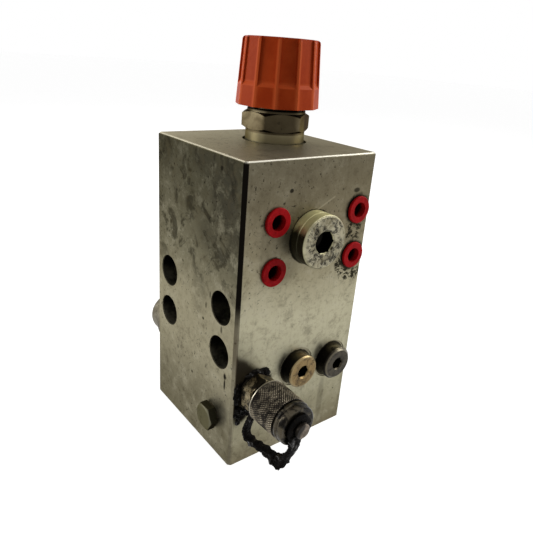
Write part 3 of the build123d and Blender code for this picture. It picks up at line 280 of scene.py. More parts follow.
def plated_block():
    """Plated milled block: tarnished and mottled high up, cleaner low down, oil spots, worn bright top edges, and
    painted reflection that darkens the front and left faces high up and lightens them low down.
    """
    paint = Paint("plated_block")
    on_front = paint.y.between(FRONT + 0.5 * MM, FRONT + 0.1 * MM)
    on_left = paint.x.between(LEFT + 0.5 * MM, LEFT + 0.1 * MM)
    on_top = paint.z.between(TOP - 0.5 * MM, TOP - 0.1 * MM)
    cloud = paint.noise(36.0, 8.0, 0.66, 0.3)
    mottle = paint.noise(120.0, 8.0, 0.74, 0.2, shift=0.6)
    broad = paint.noise(15.0, 3.0, 0.5, 0.3, shift=0.31)
    fine = paint.noise(430.0, 6.0, 0.75)
    streaks = paint.noise(1.0, 4.0, 0.6, point=paint.stretched(230.0, 230.0, 9.0))

    height = paint.z / TOP + (broad - 0.5) * 0.16
    depth = (paint.y - FRONT) / (BLOCK_HIGH.y - FRONT) + (cloud - 0.5) * 0.6
    colour = paint.ramp(height, LEFT_TONES)
    colour = paint.mix(on_front, colour, paint.ramp(height, FRONT_TONES))
    colour = paint.mix(on_top, colour, paint.ramp(depth, TOP_TONES))
    # Lighter mottled patches, weighted low down: partly patchy plating, partly painted reflection of the pale floor
    bright = mottle.between(0.50, 0.34) * 0.45 + cloud.between(0.50, 0.32) * 0.25
    lower = paint.z.between(TOP - 10 * MM, TOP - 85 * MM)
    colour = paint.mix(bright * (1 - on_top) * (lower * 0.6 + 0.25), colour, srgb(168, 163, 143))

    rag = (mottle - 0.5) * 1.7 + (fine - 0.5) * 0.5
    tarnish_and_shade = paint.spots(paint.y, paint.z, LEFT_TARNISH_AND_SHADE, rag) * on_left * mottle.between(0.36, 0.58)
    colour = paint.mix(tarnish_and_shade * 0.9, colour, srgb(44, 43, 38))
    stain = paint.noise(75.0, 8.0, 0.74, 0.6, shift=4.2).between(0.49, 0.60) * on_left
    colour = paint.mix(stain * paint.z.between(78 * MM, 108 * MM) * 0.75, colour, srgb(26, 25, 22))
    # Dark triangle up and to the left of the test coupling: painted reflection and shadow of the coupling on the glossy
    # face
    below = (paint.z - 67 * MM) + (paint.x + 39 * MM) * 0.92 + (cloud - 0.5) * (8 * MM)
    shade = below.between(2.5 * MM, -2.5 * MM) * paint.x.between(-17 * MM, -22 * MM) * paint.z.between(22 * MM, 36 * MM)
    films_and_reflections = paint.spots(paint.x, paint.z, FRONT_FILMS_AND_REFLECTIONS, rag * 0.35).most(shade * 0.93) * on_front
    colour = paint.mix(films_and_reflections, colour, srgb(44, 37, 28))
    grain = paint.noise(330.0, 6.0, 0.7, 0.4, shift=2.9)
    dull = mottle.between(0.50, 0.70) * 0.42 + streaks.between(0.50, 0.78) * on_front * 0.25
    dull = dull + grain.between(0.5, 0.7) * 0.3
    colour = paint.mix(dull, colour, srgb(66, 59, 45))

    specks = paint.noise(560.0, 5.0, 0.66, shift=1.4).between(0.59, 0.66) * cloud.between(0.62, 0.46)
    specks = specks * (1 - on_front * paint.z.between(100 * MM, 80 * MM) * 0.75)
    pits = specks.most(paint.dots(260.0, 0.20, 0.03))
    black = (paint.spots(paint.y, paint.z, LEFT_SPOTS, rag * 0.3) * on_left).most(
        paint.spots(paint.x, paint.z, FRONT_SPOTS, rag * 0.45) * on_front)
    black = black.most(pits * 0.8).most(grime_round_plugs(paint)).most(shade_inside_seats(paint))
    colour = paint.mix(black, colour, GRIME_AND_SHADE)
    along = (paint.x - 2.0 * MM) * 0.894 + (paint.z - 131.0 * MM) * 0.447
    off = abs((paint.z - 131.0 * MM) * 0.894 - (paint.x - 2.0 * MM) * 0.447)
    scratch = off.between(0.7 * MM, 0.1 * MM) * along.between(0, 1 * MM) * along.between(14 * MM, 12 * MM) * on_front
    colour = paint.mix(scratch * 0.16, colour, srgb(196, 188, 160))

    level, upright_edge_shade = broken_edges(paint)
    dim = paint.x.between(LEFT + 1.6 * MM, LEFT + 0.9 * MM) * 0.65
    colour = paint.mix(level * (0.85 - dim), colour, srgb(220, 215, 200))
    # Vertical front-left edge: painted dark reflection, near black high up and paler lower down
    colour = paint.mix(upright_edge_shade * paint.z.between(70 * MM, 92 * MM), colour, srgb(9, 7, 5))
    fading = paint.z.between(92 * MM, 70 * MM) * (0.25 + 0.5 * paint.z.between(45 * MM, 65 * MM))
    colour = paint.mix(upright_edge_shade * fading, colour, srgb(66, 58, 45))
    rough = 0.30 + cloud * 0.14 + fine * 0.16 - level * 0.08
    relief = fine * 0.6 + mottle * 0.5 - pits * 1.4 + scratch
    return paint.shader(Base_Color=colour, Metallic=0.92, Roughness=rough, Specular_Tint=srgb(185, 181, 168),
                        Normal=paint.bump(relief, 0.22, 0.00025))


def shade_inside_seats(paint):
    """Painted shade inside the screw seats of the left face, a little lighter low on their walls."""
    total = None
    for across, up in SCREW_SEATS_MM:
        distance = paint.ring(Vector((0, across, up)) * MM, 0)
        inside = distance.between((SCREW_SEAT_RADIUS_MM + 0.3) * MM, (SCREW_SEAT_RADIUS_MM + 0.1) * MM)
        low_wall = (paint.z - up * MM).between(2 * MM, -6 * MM) * paint.noise(90.0, 4.0).between(0.35, 0.6)
        seat = inside * (0.96 - low_wall * 0.55)
        total = seat if total is None else total.most(seat)
    shaded_depth = paint.x.between(LEFT + 0.3 * MM, LEFT + 1.0 * MM) * paint.x.between(-LEFT - 0.3 * MM, -LEFT - 1.0 * MM)
    return total * shaded_depth


def grime_round_plugs(paint):
    """Black oily dirt on the front: round the test coupling, the screw plugs and the right-hand red plugs."""
    on_front = paint.y.between(FRONT + 2.0 * MM, FRONT + 0.6 * MM)
    rag = paint.noise(170.0, 6.0, 0.72, 0.8, shift=2.3)
    crumbs = paint.noise(330.0, 6.0, 0.74, 0.6, shift=3.1).between(0.47, 0.54)
    rough_edge = (rag - 0.5) * (9 * MM)
    total = (paint.ring(COUPLING_AT, 1) + rough_edge).between(12.5 * MM, 9.8 * MM)
    for place, reach in ((MIDDLE_AT, 9.6), (RIGHT_AT, 9.9), (MAIN_AT, 13.3)):
        total = total.most((paint.ring(place, 1) + rough_edge * 0.2).between((reach + 0.5) * MM, reach * MM) * 0.9)
    right_x = FLANGE_HIGH.x - FLANGE_INSET
    for height in (FLANGE_LOW.z + FLANGE_INSET, FLANGE_HIGH.z - FLANGE_INSET):
        near = paint.ring(Vector((right_x, 0, height)), 1) + rough_edge * 0.5
        total = total.most(near.between(9.2 * MM, 7.0 * MM) * 0.95)
    middle = (FLANGE_LOW.z + FLANGE_HIGH.z) / 2
    for across, up, wide, tall in ((-1.0, 1.0, 6.5, 9.0), (0.0, -21.5, 8.5, 5.5), (-8.0, -16.5, 3.5, 6.5)):
        side = (paint.x - (right_x + across * MM)) / (wide * MM)
        rise = (paint.z - (middle + up * MM)) / (tall * MM)
        patch = ((side ** 2.0 + rise ** 2.0) ** 0.5 + (rag - 0.5) * 1.6).between(1.0, 0.7)
        total = total.most(patch * crumbs * 0.95)
    return total * on_front


def broken_edges(paint):
    """Two masks: the bright level edges round the top and bottom, and the vertical edge between front and left, which
    takes a painted dark reflection.
    """
    middle = (BLOCK_LOW + BLOCK_HIGH) / 2
    half = (BLOCK_HIGH - BLOCK_LOW) / 2
    inset = [half[index] - abs(value - middle[index]) for index, value in enumerate((paint.x, paint.y, paint.z))]
    worn = (paint.noise(90.0, 3.0) - 0.5) * (0.5 * MM)
    corner = (inset[0] + inset[1] + worn * 0.6).between(1.9 * MM, 1.5 * MM)
    rim = inset[0].least(inset[1])
    level = (inset[2] + rim + worn).between(1.6 * MM, 1.2 * MM) * (inset[2] - rim + worn).between(0.35 * MM, -0.1 * MM)
    front_left = paint.x.between(0, -1 * MM) * paint.y.between(0, -1 * MM)
    return level, corner * front_left * paint.z.between(TOP - 0.3 * MM, TOP - 1.2 * MM)


def plated_steel(name, light, shade, rough=0.30, dirt=0.5, metal=0.92, pit=0.3):
    """Turned or milled plated steel with cloudy dirt and small pits."""
    paint = Paint(name)
    cloud = paint.noise(120.0, 6.0, 0.65, 0.8)
    fine = paint.noise(900.0, 4.0, 0.7)
    colour = paint.mix(cloud.between(0.38, 0.66), srgb(*light), srgb(*shade))
    spots = paint.dots(620.0, 0.30, pit)
    black = (paint.noise(260.0, 7.0, 0.72, 1.4, shift=0.9).between(0.60 - 0.12 * dirt, 0.70) * dirt).most(spots * 0.8)
    colour = paint.mix(black, colour, GRIME_AND_SHADE)
    return paint.shader(Base_Color=colour, Metallic=metal - black * 0.1, Roughness=rough + cloud * 0.15 + black * 0.2,
                        Normal=paint.bump(fine - spots, 0.25, 0.00012))


def main_plug_steel():
    """Yellow-plated screw plug: clean yellow rings, a grey face pitted with black, painted shade in its socket and a
    painted dark reflection low on its left side.
    """
    paint = Paint("main_plug_steel")
    cloud = paint.noise(150.0, 6.0, 0.65, 0.8)
    fine = paint.noise(1000.0, 4.0, 0.7)
    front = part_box("main_plug")[0].y
    face = paint.y.between(front + 0.9 * MM, front + 0.4 * MM)
    colour = paint.mix(face, srgb(236, 229, 168), srgb(150, 144, 121))
    colour = paint.mix(cloud.between(0.42, 0.70) * (0.3 + face * 0.7), colour, srgb(84, 77, 56))
    coarse = paint.noise(330.0, 7.0, 0.80, 0.5, shift=0.4).between(0.47, 0.54)
    speckle = coarse * paint.noise(110.0, 3.0, 0.5, shift=0.9).between(0.34, 0.46) * face
    # Low on the left side: painted dark reflection
    lean = (paint.x - MAIN_AT.x) * 0.82 + (paint.z - MAIN_AT.z) * 0.57 + (cloud - 0.5) * (9 * MM)
    side = lean.between(-3 * MM, -8 * MM) * (1 - face)
    # Inside the hexagon socket: painted shade
    socket_shade = paint.ring(MAIN_AT, 1).between(6.3 * MM, 6.1 * MM) * paint.y.between(front + 0.5 * MM, front + 0.9 * MM)
    black = (speckle * 0.84).most(side * 0.97).most(socket_shade)
    colour = paint.mix(black, colour, GRIME_AND_SHADE)
    rim = paint.ring(MAIN_AT, 1).between(11.7 * MM, 12.3 * MM) * face
    colour = paint.mix(rim * 0.4, colour, srgb(176, 170, 140))
    metal = 0.94 - (1 - face) * (1 - black) * 0.75
    return paint.shader(Base_Color=colour, Metallic=metal, Roughness=0.24 + cloud * 0.16 + black * 0.12,
                        Normal=paint.bump(fine - speckle * 1.5, 0.35, 0.00018))


def port_plug_steel(name, node, light, shade, edge):
    """Small screw plug: plated face with a painted highlight round its rim, a dark side that is partly oil and partly
    painted shade, and painted shade in its socket.
    """
    paint = Paint(name)
    low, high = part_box(node)
    middle = (low + high) / 2
    cloud = paint.noise(200.0, 6.0, 0.65, 0.8)
    fine = paint.noise(1000.0, 4.0, 0.7)
    face = paint.y.between(low.y + 0.9 * MM, low.y + 0.3 * MM)
    out = paint.ring(middle, 1)
    colour = paint.mix(face, srgb(92, 85, 66), srgb(*light))
    colour = paint.mix(cloud.between(0.44, 0.64), colour, srgb(*shade))
    # Lighter rim round the face: painted highlight
    colour = paint.mix(out.between(7.4 * MM, 8.2 * MM) * face * 0.7, colour, srgb(*edge))
    # Dark low left side: partly oil, partly painted shade
    lean = (paint.x - middle.x) * 0.85 + (paint.z - middle.z) * 0.52 + (cloud - 0.5) * (6 * MM)
    side = lean.between(5 * MM, -1.5 * MM) * (1 - face)
    speckle = paint.noise(520.0, 6.0, 0.7, shift=0.4).between(0.57, 0.66) * face
    # Inside the hexagon socket: painted shade
    socket_shade = out.between(4.0 * MM, 3.8 * MM) * paint.y.between(low.y + 0.5 * MM, low.y + 0.9 * MM)
    black = (side * 0.97).most(speckle * 0.7).most(socket_shade)
    colour = paint.mix(black, colour, GRIME_AND_SHADE)
    return paint.shader(Base_Color=colour, Metallic=0.94, Roughness=0.27 + cloud * 0.15 + black * 0.12,
                        Normal=paint.bump(fine - speckle, 0.2, 0.00012))


def cartridge_steel():
    """Olive plating on the cartridge's hexagon and collar, with a painted dark reflection on the flats between front
    and left, and painted shade on the flats towards +X and in the gap at 13.6 to 15.2 mm over the block.
    """
    paint = Paint("cartridge_steel")
    cloud = paint.noise(110.0, 5.0, 0.6, 0.5)
    fine = paint.noise(900.0, 4.0, 0.7)
    plate = paint.mix(cloud.between(0.40, 0.66), srgb(122, 111, 86), srgb(90, 80, 60))
    collar = paint.z.between(TOP + 4.6 * MM, TOP + 4.0 * MM)
    colour = paint.mix(collar, plate, srgb(142, 133, 104))
    # Flats between front and left: painted dark reflection; flats towards +X: painted shade
    lean = (paint.x - RELIEF_AT.x) * 0.30 - (paint.y - RELIEF_AT.y) * 0.954
    across = (paint.x - RELIEF_AT.x - 1.5 * MM) * 0.80 - (paint.y - RELIEF_AT.y) * 0.60
    across = abs(across + (cloud - 0.5) * (5 * MM))
    dark_reflection_and_shade = across.between(11.5 * MM, 7.0 * MM) * lean.between(2 * MM, 5 * MM) * (1 - collar * 0.55)
    dark_reflection_and_shade = dark_reflection_and_shade.most((paint.x - RELIEF_AT.x).between(6 * MM, 10 * MM) * (1 - collar) * 0.5)
    colour = paint.mix(dark_reflection_and_shade * 0.9, colour, srgb(50, 43, 30))
    specks = paint.noise(330.0, 7.0, 0.7, 1.0, shift=0.8).between(0.62, 0.70)
    # Dark band at the gap 13.6 to 15.2 mm over the block's top: painted shade
    gap = paint.z.between(TOP + 13.6 * MM, TOP + 15.2 * MM)
    black = (specks * 0.7).most(gap * 0.6)
    colour = paint.mix(black, colour, GRIME_AND_SHADE)
    return paint.shader(Base_Color=colour, Metallic=0.92, Roughness=0.24 + cloud * 0.16,
                        Specular_Tint=srgb(150, 145, 130), Normal=paint.bump(fine, 0.15, 0.0001))


def cap_steel():
    """Knurled cap: knurl tips bright from wear and painted highlight over grooves black with oil and painted shade, a
    clean back lip, a dark oily end and a clean stud.
    """
    paint = Paint("cap_steel")
    cloud = paint.noise(140.0, 6.0, 0.68, 1.0)
    fine = paint.noise(600.0, 5.0, 0.7)
    height = FRONT - paint.y
    radius = paint.ring(COUPLING_AT, 1)
    grip = height.between((KNURL_LOW_MM - 0.1) * MM, (KNURL_LOW_MM + 0.1) * MM) * height.between(
        (KNURL_HIGH_MM + 0.1) * MM, (KNURL_HIGH_MM - 0.1) * MM)
    core = KNURL_RADIUS_MM * MM - (height - KNURL_LOW_MM * MM) * KNURL_TAPER
    # Knurl grooves near black, tips bright in cloudy patches: oil and wear, with painted shade in the grooves and
    # painted highlight on the tips
    tip = (radius - core).between(0.12 * MM, 0.70 * KNURL_HEIGHT_MM * MM)
    worn = paint.mix(cloud.between(0.42, 0.60), srgb(140, 130, 111), srgb(42, 37, 30))
    plain = paint.mix(cloud.between(0.42, 0.58), srgb(72, 66, 54), srgb(15, 13, 10))
    lip = height.between((KNURL_LOW_MM + 0.1) * MM, (KNURL_LOW_MM - 0.1) * MM)
    plain = paint.mix(lip * (0.45 + cloud * 0.7), plain, srgb(168, 160, 142))
    stud = height.between(35.6 * MM, 35.8 * MM)
    lean = (paint.x - COUPLING_AT.x) * 0.75 - (paint.z - COUPLING_AT.z) * 0.4 + (cloud - 0.5) * (4 * MM)
    plain = paint.mix(stud, plain, paint.mix(cloud.between(0.42, 0.60), srgb(124, 113, 101), srgb(84, 76, 64)))
    plain = paint.mix(stud * lean.between(0.2 * MM, -1.2 * MM) * 0.9, plain, GRIME_AND_SHADE)
    colour = paint.mix(grip, plain, paint.mix(tip, srgb(16, 13, 10), worn))
    return paint.shader(Base_Color=colour, Metallic=0.93, Roughness=0.20 + cloud * 0.20 + stud * 0.14 + grip * 0.06,
                        Normal=paint.bump(fine, 0.3, 0.00012))


def coupling_steel():
    """Plated hexagon of the test coupling, smeared with oily dirt."""
    paint = Paint("coupling_steel")
    cloud = paint.noise(160.0, 6.0, 0.68, 1.0)
    colour = paint.mix(cloud.between(0.40, 0.66), srgb(160, 146, 114), srgb(90, 79, 56))
    smear = paint.noise(130.0, 7.0, 0.72, 1.0, shift=1.1).between(0.44, 0.54)
    colour = paint.mix(smear * 0.95, colour, GRIME_AND_SHADE)
    return paint.shader(Base_Color=colour, Metallic=0.93, Roughness=0.26 + cloud * 0.2,
                        Normal=paint.bump(smear, 0.3, 0.0003))


def black_rubber():
    """Worn black rubber, wet with oil in places."""
    paint = Paint("black_rubber")
    wet = paint.noise(230.0, 6.0, 0.68, 0.8)
    fine = paint.noise(900.0, 6.0, 0.75)
    colour = paint.mix(wet.between(0.44, 0.66), srgb(6, 5, 4), srgb(24, 20, 16))
    return paint.shader(Base_Color=colour, Roughness=0.6, IOR=1.12, Coat_Weight=wet.between(0.57, 0.64) * 0.7, Coat_Roughness=0.16,
                        Normal=paint.bump(fine + wet, 0.65, 0.0006))


def grease():
    """Old black grease with small wet highlights."""
    paint = Paint("grease")
    lump = paint.noise(420.0, 7.0, 0.75, 1.0)
    colour = paint.mix(lump.between(0.40, 0.66), srgb(7, 6, 4), srgb(24, 20, 15))
    return paint.shader(Base_Color=colour, Roughness=0.6, IOR=1.14, Coat_Weight=lump.between(0.54, 0.60), Coat_Roughness=0.12,
                        Normal=paint.bump(lump, 0.9, 0.0009))


def red_plastic():
    """Soft red plastic with dirt specks, and painted shade far inside its hollow."""
    paint = Paint("red_plastic")
    cloud = paint.noise(220.0, 5.0, 0.6)
    colour = paint.mix(cloud.between(0.35, 0.7), srgb(180, 19, 25), srgb(146, 10, 16))
    # Far inside the hollow: painted shade
    shaded_depth = paint.y.between(FRONT + 0.1 * MM, FRONT + 2.6 * MM)
    dirt = paint.noise(420.0, 6.0, 0.7, 0.8).between(0.60, 0.68) * 0.55
    colour = paint.mix((shaded_depth * 0.96).most(dirt), colour, srgb(18, 3, 3))
    return paint.shader(Base_Color=colour, Roughness=0.42 + cloud * 0.12, IOR=1.16,
                        Normal=paint.bump(paint.noise(800.0, 4.0), 0.12, 0.0001))


CAP_FOOT_MM = 16.7
CAP_HEAD_MM = 47.6
CAP_LEDGE_MM = (26.0, 27.6)
CAP_RADII_MM = (20.73, 18.7)


def orange_plastic():
    """Orange-red moulded plastic: deeper in its panels, with painted highlights on the ribs' outer edges and on the
    ledges.
    """
    paint = Paint("orange_plastic")
    cloud = paint.noise(90.0, 4.0, 0.6)
    grain = paint.noise(1500.0, 3.0, 0.6)
    colour = paint.mix(cloud.between(0.35, 0.70), srgb(178, 66, 24), srgb(162, 54, 16))
    share = (paint.z - (TOP + CAP_FOOT_MM * MM)) / ((CAP_HEAD_MM - CAP_FOOT_MM) * MM)
    radius = share * ((CAP_RADII_MM[1] - CAP_RADII_MM[0]) * MM) + CAP_RADII_MM[0] * MM
    # Paler outer edges of the ribs and paler ledges: painted highlight
    rib_highlight = (paint.ring(RELIEF_AT, 2) / radius).between(0.978, 0.996)
    ledge_low, ledge_high = (TOP + height * MM for height in CAP_LEDGE_MM)
    ledge_highlight = paint.z.between(ledge_low - 0.5 * MM, ledge_low + 0.3 * MM) * paint.z.between(
        ledge_high + 1.4 * MM, ledge_high - 0.2 * MM)
    colour = paint.mix((rib_highlight * 0.6).most(ledge_highlight * 0.35), colour, srgb(226, 104, 54))
    return paint.shader(Base_Color=colour, Roughness=0.36 + cloud * 0.10, IOR=1.13,
                        Normal=paint.bump(grain, 0.15, 0.00008))


def side_screw_steel():
    """Screw in the left face: its end as pale as the block, its flats darker olive as painted shade, with oily patches
    over all.
    """
    paint = Paint("side_screw_steel")
    cloud = paint.noise(130.0, 6.0, 0.66, 0.6)
    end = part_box("side_screw")[0].x
    face = paint.x.between(end + 0.7 * MM, end + 0.3 * MM)
    # Flats darker than the end: painted shade
    colour = paint.mix(face, srgb(50, 48, 36), srgb(96, 93, 76))
    colour = paint.mix(cloud.between(0.45, 0.66) * 0.8, colour, srgb(40, 38, 28))
    return paint.shader(Base_Color=colour, Metallic=0.92, Roughness=0.34 + cloud * 0.15, Specular_Tint=srgb(160, 156, 140),
                        Normal=paint.bump(cloud, 0.25, 0.0002))


def dome_steel():
    """Dull beige-grey plating of the hose port's plug."""
    return plated_steel("dome_steel", (108, 102, 86), (82, 76, 61), rough=0.42, dirt=0.3)


KNURL_ROUND = 60
KNURL_STEPS = 6
KNURL_ROWS = 120
KNURL_LOW_MM = 11.5
KNURL_HIGH_MM = 27.3
KNURL_RADIUS_MM = 10.45
KNURL_TAPER = 0.3 / 15.8
KNURL_HEIGHT_MM = 0.42
KNURL_PITCH_MM = 1.45
TORN_AT = 0.62

MATERIALS = {
    "valve_block": plated_block(),
    "main_plug": main_plug_steel(),
    "middle_port_plug": port_plug_steel(
        "middle_plug_steel", "middle_port_plug", (128, 107, 70), (84, 68, 43), (140, 124, 90)),
    "right_port_plug": port_plug_steel(
        "right_plug_steel", "right_port_plug", (60, 55, 45), (34, 31, 24), (104, 98, 83)),
    "relief_body": cartridge_steel(),
    "knurled_cap": cap_steel(),
    "coupling_body": coupling_steel(),
    "retaining_strap": black_rubber(),
    "flange_hole_plugs": red_plastic(),
    "protective_cap": orange_plastic(),
    "hose_port_plug": dome_steel(),
    "side_screw": side_screw_steel(),
}
MATERIALS["main_plug_ring"] = MATERIALS["main_plug"]
BRIGHT = plated_steel("machined_steel", (170, 168, 162), (130, 128, 122), rough=0.24, dirt=0.1, pit=0.05)
WIRE = plated_steel("spring_wire", (84, 82, 80), (50, 48, 46), rough=0.34, dirt=0.2, pit=0.1)
WASHER = plated_steel("washer_steel", (78, 72, 60), (34, 30, 24), rough=0.36, dirt=0.7)
GREASE = grease()
CAP_STEEL = MATERIALS["knurled_cap"]
for name, node in NODES.items():
    if name in MATERIALS:
        finish = MATERIALS[name]
    elif "seal" in name:
        finish = MATERIALS["retaining_strap"]
    elif "spring" in name and "guide" not in name:
        finish = WIRE
    elif "washer" in name:
        finish = WASHER
    else:
        finish = BRIGHT
    node.data.materials.clear()
    node.data.materials.append(finish)


def grid_piece(name, points, finish, body, sharp=180.0):
    """Closed mesh from rows by columns of points: rows close on themselves, and poles and seams are merged.

    The faces are turned outwards by the sign of the volume that they enclose.
    """
    rows, columns = points.shape[:2]
    row, column = np.meshgrid(np.arange(rows - 1), np.arange(columns), indexing="ij")
    beside = (column + 1) % columns
    faces = np.stack([row * columns + column, row * columns + beside,
                      (row + 1) * columns + beside, (row + 1) * columns + column], axis=-1).reshape(-1, 4)
    spots = points.reshape(-1, 3)
    first, second, third, fourth = (spots[faces[:, index]] - spots.mean(axis=0) for index in range(4))
    volume = (first * np.cross(second, third)).sum() + (first * np.cross(third, fourth)).sum()
    if volume < 0:
        faces = faces[:, ::-1]
    mesh = bpy.data.meshes.new(name)
    mesh.from_pydata(spots.tolist(), [], faces.tolist())
    work = bmesh.new()
    work.from_mesh(mesh)
    bmesh.ops.remove_doubles(work, verts=work.verts, dist=MERGE_WITHIN)
    work.to_mesh(mesh)
    work.free()
    mesh.shade_smooth()
    mesh.set_sharp_from_angle(angle=math.radians(sharp))
    mesh.materials.append(finish)
    piece = bpy.data.objects.new(name, mesh)
    bpy.context.scene.collection.objects.link(piece)
    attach(piece, body)
    return piece


# Outline of the test coupling's cap from its inside to its end: height over the block's face, radius
CAP_OUTLINE_MM = [(25.6, 0.0), (25.6, 8.1), (10.8, 8.1), (10.8, 10.7), (11.0, 10.85), (11.35, 10.85), (11.5, 10.45),
                  (27.3, 10.15), (27.4, 9.5), (28.0, 9.5), (28.1, 10.0), (28.5, 10.3), (29.4, 10.35), (29.9, 10.1),
                  (30.1, 9.75), (30.5, 9.7), (30.8, 10.0), (32.6, 9.9), (33.1, 9.6), (33.4, 9.1), (33.4, 2.6),
                  (35.7, 2.6), (35.7, 3.5), (35.9, 3.75), (37.2, 3.75), (37.5, 3.4), (37.5, 0.0)]


def outline_points(outline, spacing):
    """Outline with points no further apart than a spacing; a very long run is the knurl's and gets its own rows."""
    points = [outline[0]]
    for (height, radius), (next_height, next_radius) in zip(outline, outline[1:]):
        run = math.hypot(next_height - height, next_radius - radius)
        knurled = height == KNURL_LOW_MM
        count = KNURL_ROWS if knurled else max(1, math.ceil(run / spacing))
        share = np.linspace(0, 1, count + 1)[1:]
        points += list(zip(height + share * (next_height - height), radius + share * (next_radius - radius)))
    return np.array(points)


def cap_piece():
    """Knurled cap as one turned outline, with a diamond knurl cut into its grip.

    Each point of the outline goes round the coupling's axis. Over the grip, two families of V grooves run round as
    left and right helices: the radius grows by the smaller of two triangle waves, one of n*turn + height/pitch and
    one of n*turn - height/pitch, times the knurl's height, and fades to nothing at both ends.
    """
    outline = outline_points(CAP_OUTLINE_MM, 2.0)
    turns = np.linspace(0, 1, KNURL_ROUND * KNURL_STEPS, endpoint=False)
    height, turn = np.meshgrid(outline[:, 0], turns, indexing="ij")
    radius = np.repeat(outline[:, 1:], len(turns), axis=1)
    inner = np.arange(len(outline))[:, None] < 4

    def triangle(value):
        return 1 - np.abs(2 * (value % 1) - 1)

    cut = np.minimum(triangle(KNURL_ROUND * turn + height / KNURL_PITCH_MM),
                     triangle(KNURL_ROUND * turn - height / KNURL_PITCH_MM))
    fade = np.clip(np.minimum(height - KNURL_LOW_MM, KNURL_HIGH_MM - height) / 0.4, 0, 1) * (radius > 10) * ~inner
    radius = radius + KNURL_HEIGHT_MM * np.clip(1.4 * cut, 0, 1) * fade
    angle = 2 * np.pi * turn
    points = np.stack([COUPLING_AT.x + MM * radius * np.cos(angle), FRONT - MM * height,
                       COUPLING_AT.z + MM * radius * np.sin(angle)], axis=-1)
    return grid_piece("knurled_grip", points, CAP_STEEL, "test_cap", sharp=28.0)


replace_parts(cap_piece(), "knurled_cap")

STRAP_START_MM = (-32.5, -48.6, 43.5)
STRAP_END_MM = (-28.2, -73.55, 43.5)
STRAP_ROUTE_MM = [(0, -3.0), (-0.6, -7.5), (-2.6, -11.5), (-4.1, -15.5), (-4.4, -19.5), (-2.6, -22.7), (1.4, -22.9),
                  (5.0, -22.1), (8.6, -22.2), (12.4, -22.7), (15.6, -23.4), (18.4, -22.8), (20.8, -19.4),
                  (22.6, -15.6), (24.4, -12.4), (25.3, -9.0), (25.4, -5.5), (25.3, -2.6)]


def smooth_path(points, count):
    """Points evenly spread along a uniform cubic B-spline, clamped at both ends."""
    control = np.array([points[0]] * 2 + list(points) + [points[-1]] * 2, float)
    spans = len(control) - 3
    place = np.linspace(0, spans - 1e-6, count)
    start = place.astype(int)
    part = (place - start)[:, None]
    before, here, after, beyond = (control[start + offset] for offset in range(4))
    return ((1 - part) ** 3 * before + (3 * part ** 3 - 6 * part ** 2 + 4) * here
            + (-3 * part ** 3 + 3 * part ** 2 + 3 * part + 1) * after + part ** 3 * beyond) / 6


def rough_field(points, scale, seed):
    """Smooth random value in about -1 to 1 at each point: a sum of sine waves in seeded directions."""
    chance = np.random.default_rng(seed)
    total = np.zeros(points.shape[:-1])
    for octave in range(4):
        for _ in range(5):
            direction = chance.normal(size=3)
            direction *= 2 * np.pi * scale * 1.9 ** octave / np.linalg.norm(direction)
            total += np.sin(points @ direction + chance.uniform(0, 2 * np.pi)) * 0.62 ** octave
    return total / 5.5


def strap_piece():
    """Rubber strap as a band carried along a spline.

    The section is a rounded flat oval: width times cos(a), thickness times sin(a), each raised to the power 0.6
    with its sign kept. Width and thickness change along the path, and a rough field along the surface gives
    the worn, swollen skin; it grows where the rubber is torn at the bottom of the loop.
    """
    start, end = np.array(STRAP_START_MM), np.array(STRAP_END_MM)
    along = (end - start) / np.linalg.norm(end - start)
    up = np.array((0.0, 0.0, 1.0))
    wide = np.cross(along, up)
    path = smooth_path(STRAP_ROUTE_MM, 260)
    centre = start + path[:, :1] * along + path[:, 1:] * up
    tangent = np.gradient(centre, axis=0)
    tangent /= np.linalg.norm(tangent, axis=1, keepdims=True)
    thin = np.cross(wide, tangent)
    share = np.linspace(0, 1, len(centre))
    width = np.interp(share, (0, 0.15, 0.35, 0.55, 0.62, 0.72, 0.85, 1), (2.6, 2.8, 2.6, 2.7, 3.4, 3.2, 3.7, 3.6))
    thick = np.interp(share, (0, 0.25, 0.5, 0.61, 0.70, 0.8, 1), (1.1, 1.2, 1.4, 2.7, 1.8, 1.2, 0.95))
    torn = np.exp(-((share - TORN_AT) / 0.05) ** 2)
    angle = np.linspace(0, 2 * np.pi, 36, endpoint=False)
    flat, round_ = (np.sign(v) * np.abs(v) ** 0.6 for v in (np.cos(angle), np.sin(angle)))
    across = width[:, None] * flat
    out = thick[:, None] * round_
    points = centre[:, None] + across[..., None] * wide + out[..., None] * thin[:, None]
    push = rough_field(points, 0.25, 5) * (0.55 + 1.2 * torn)[:, None]
    outward = points - centre[:, None]
    outward /= np.linalg.norm(outward, axis=-1, keepdims=True)
    closing = np.clip(np.minimum(share, 1 - share) / 0.02, 0, 1)[:, None, None]
    points = centre[:, None] + (points - centre[:, None]) * closing + outward * push[..., None] * closing
    return grid_piece("strap_band", points * MM, MATERIALS["retaining_strap"], "block")


def ring_piece(name, radius, section, height, roughness, seed, stretch):
    """Worn rubber ring round the test coupling's axis: a torus whose section swells with a rough field."""
    around = np.linspace(0, 2 * np.pi, 120, endpoint=False)
    over = np.linspace(0, 2 * np.pi, 18)
    turn, tilt = np.meshgrid(around, over, indexing="xy")
    outward = radius + section * np.cos(tilt)
    lift = height + stretch * section * np.sin(tilt)
    points = np.stack([outward * np.cos(turn), -lift, outward * np.sin(turn)], axis=-1)
    swell = 1 + roughness * rough_field(points, 0.12, seed)
    middle = np.stack([radius * np.cos(turn), np.full_like(turn, -height), radius * np.sin(turn)], axis=-1)
    points = middle + (points - middle) * swell[..., None]
    place = np.array((COUPLING_AT.x, FRONT, COUPLING_AT.z))
    return grid_piece(name, place + points * MM, MATERIALS["retaining_strap"], "block")


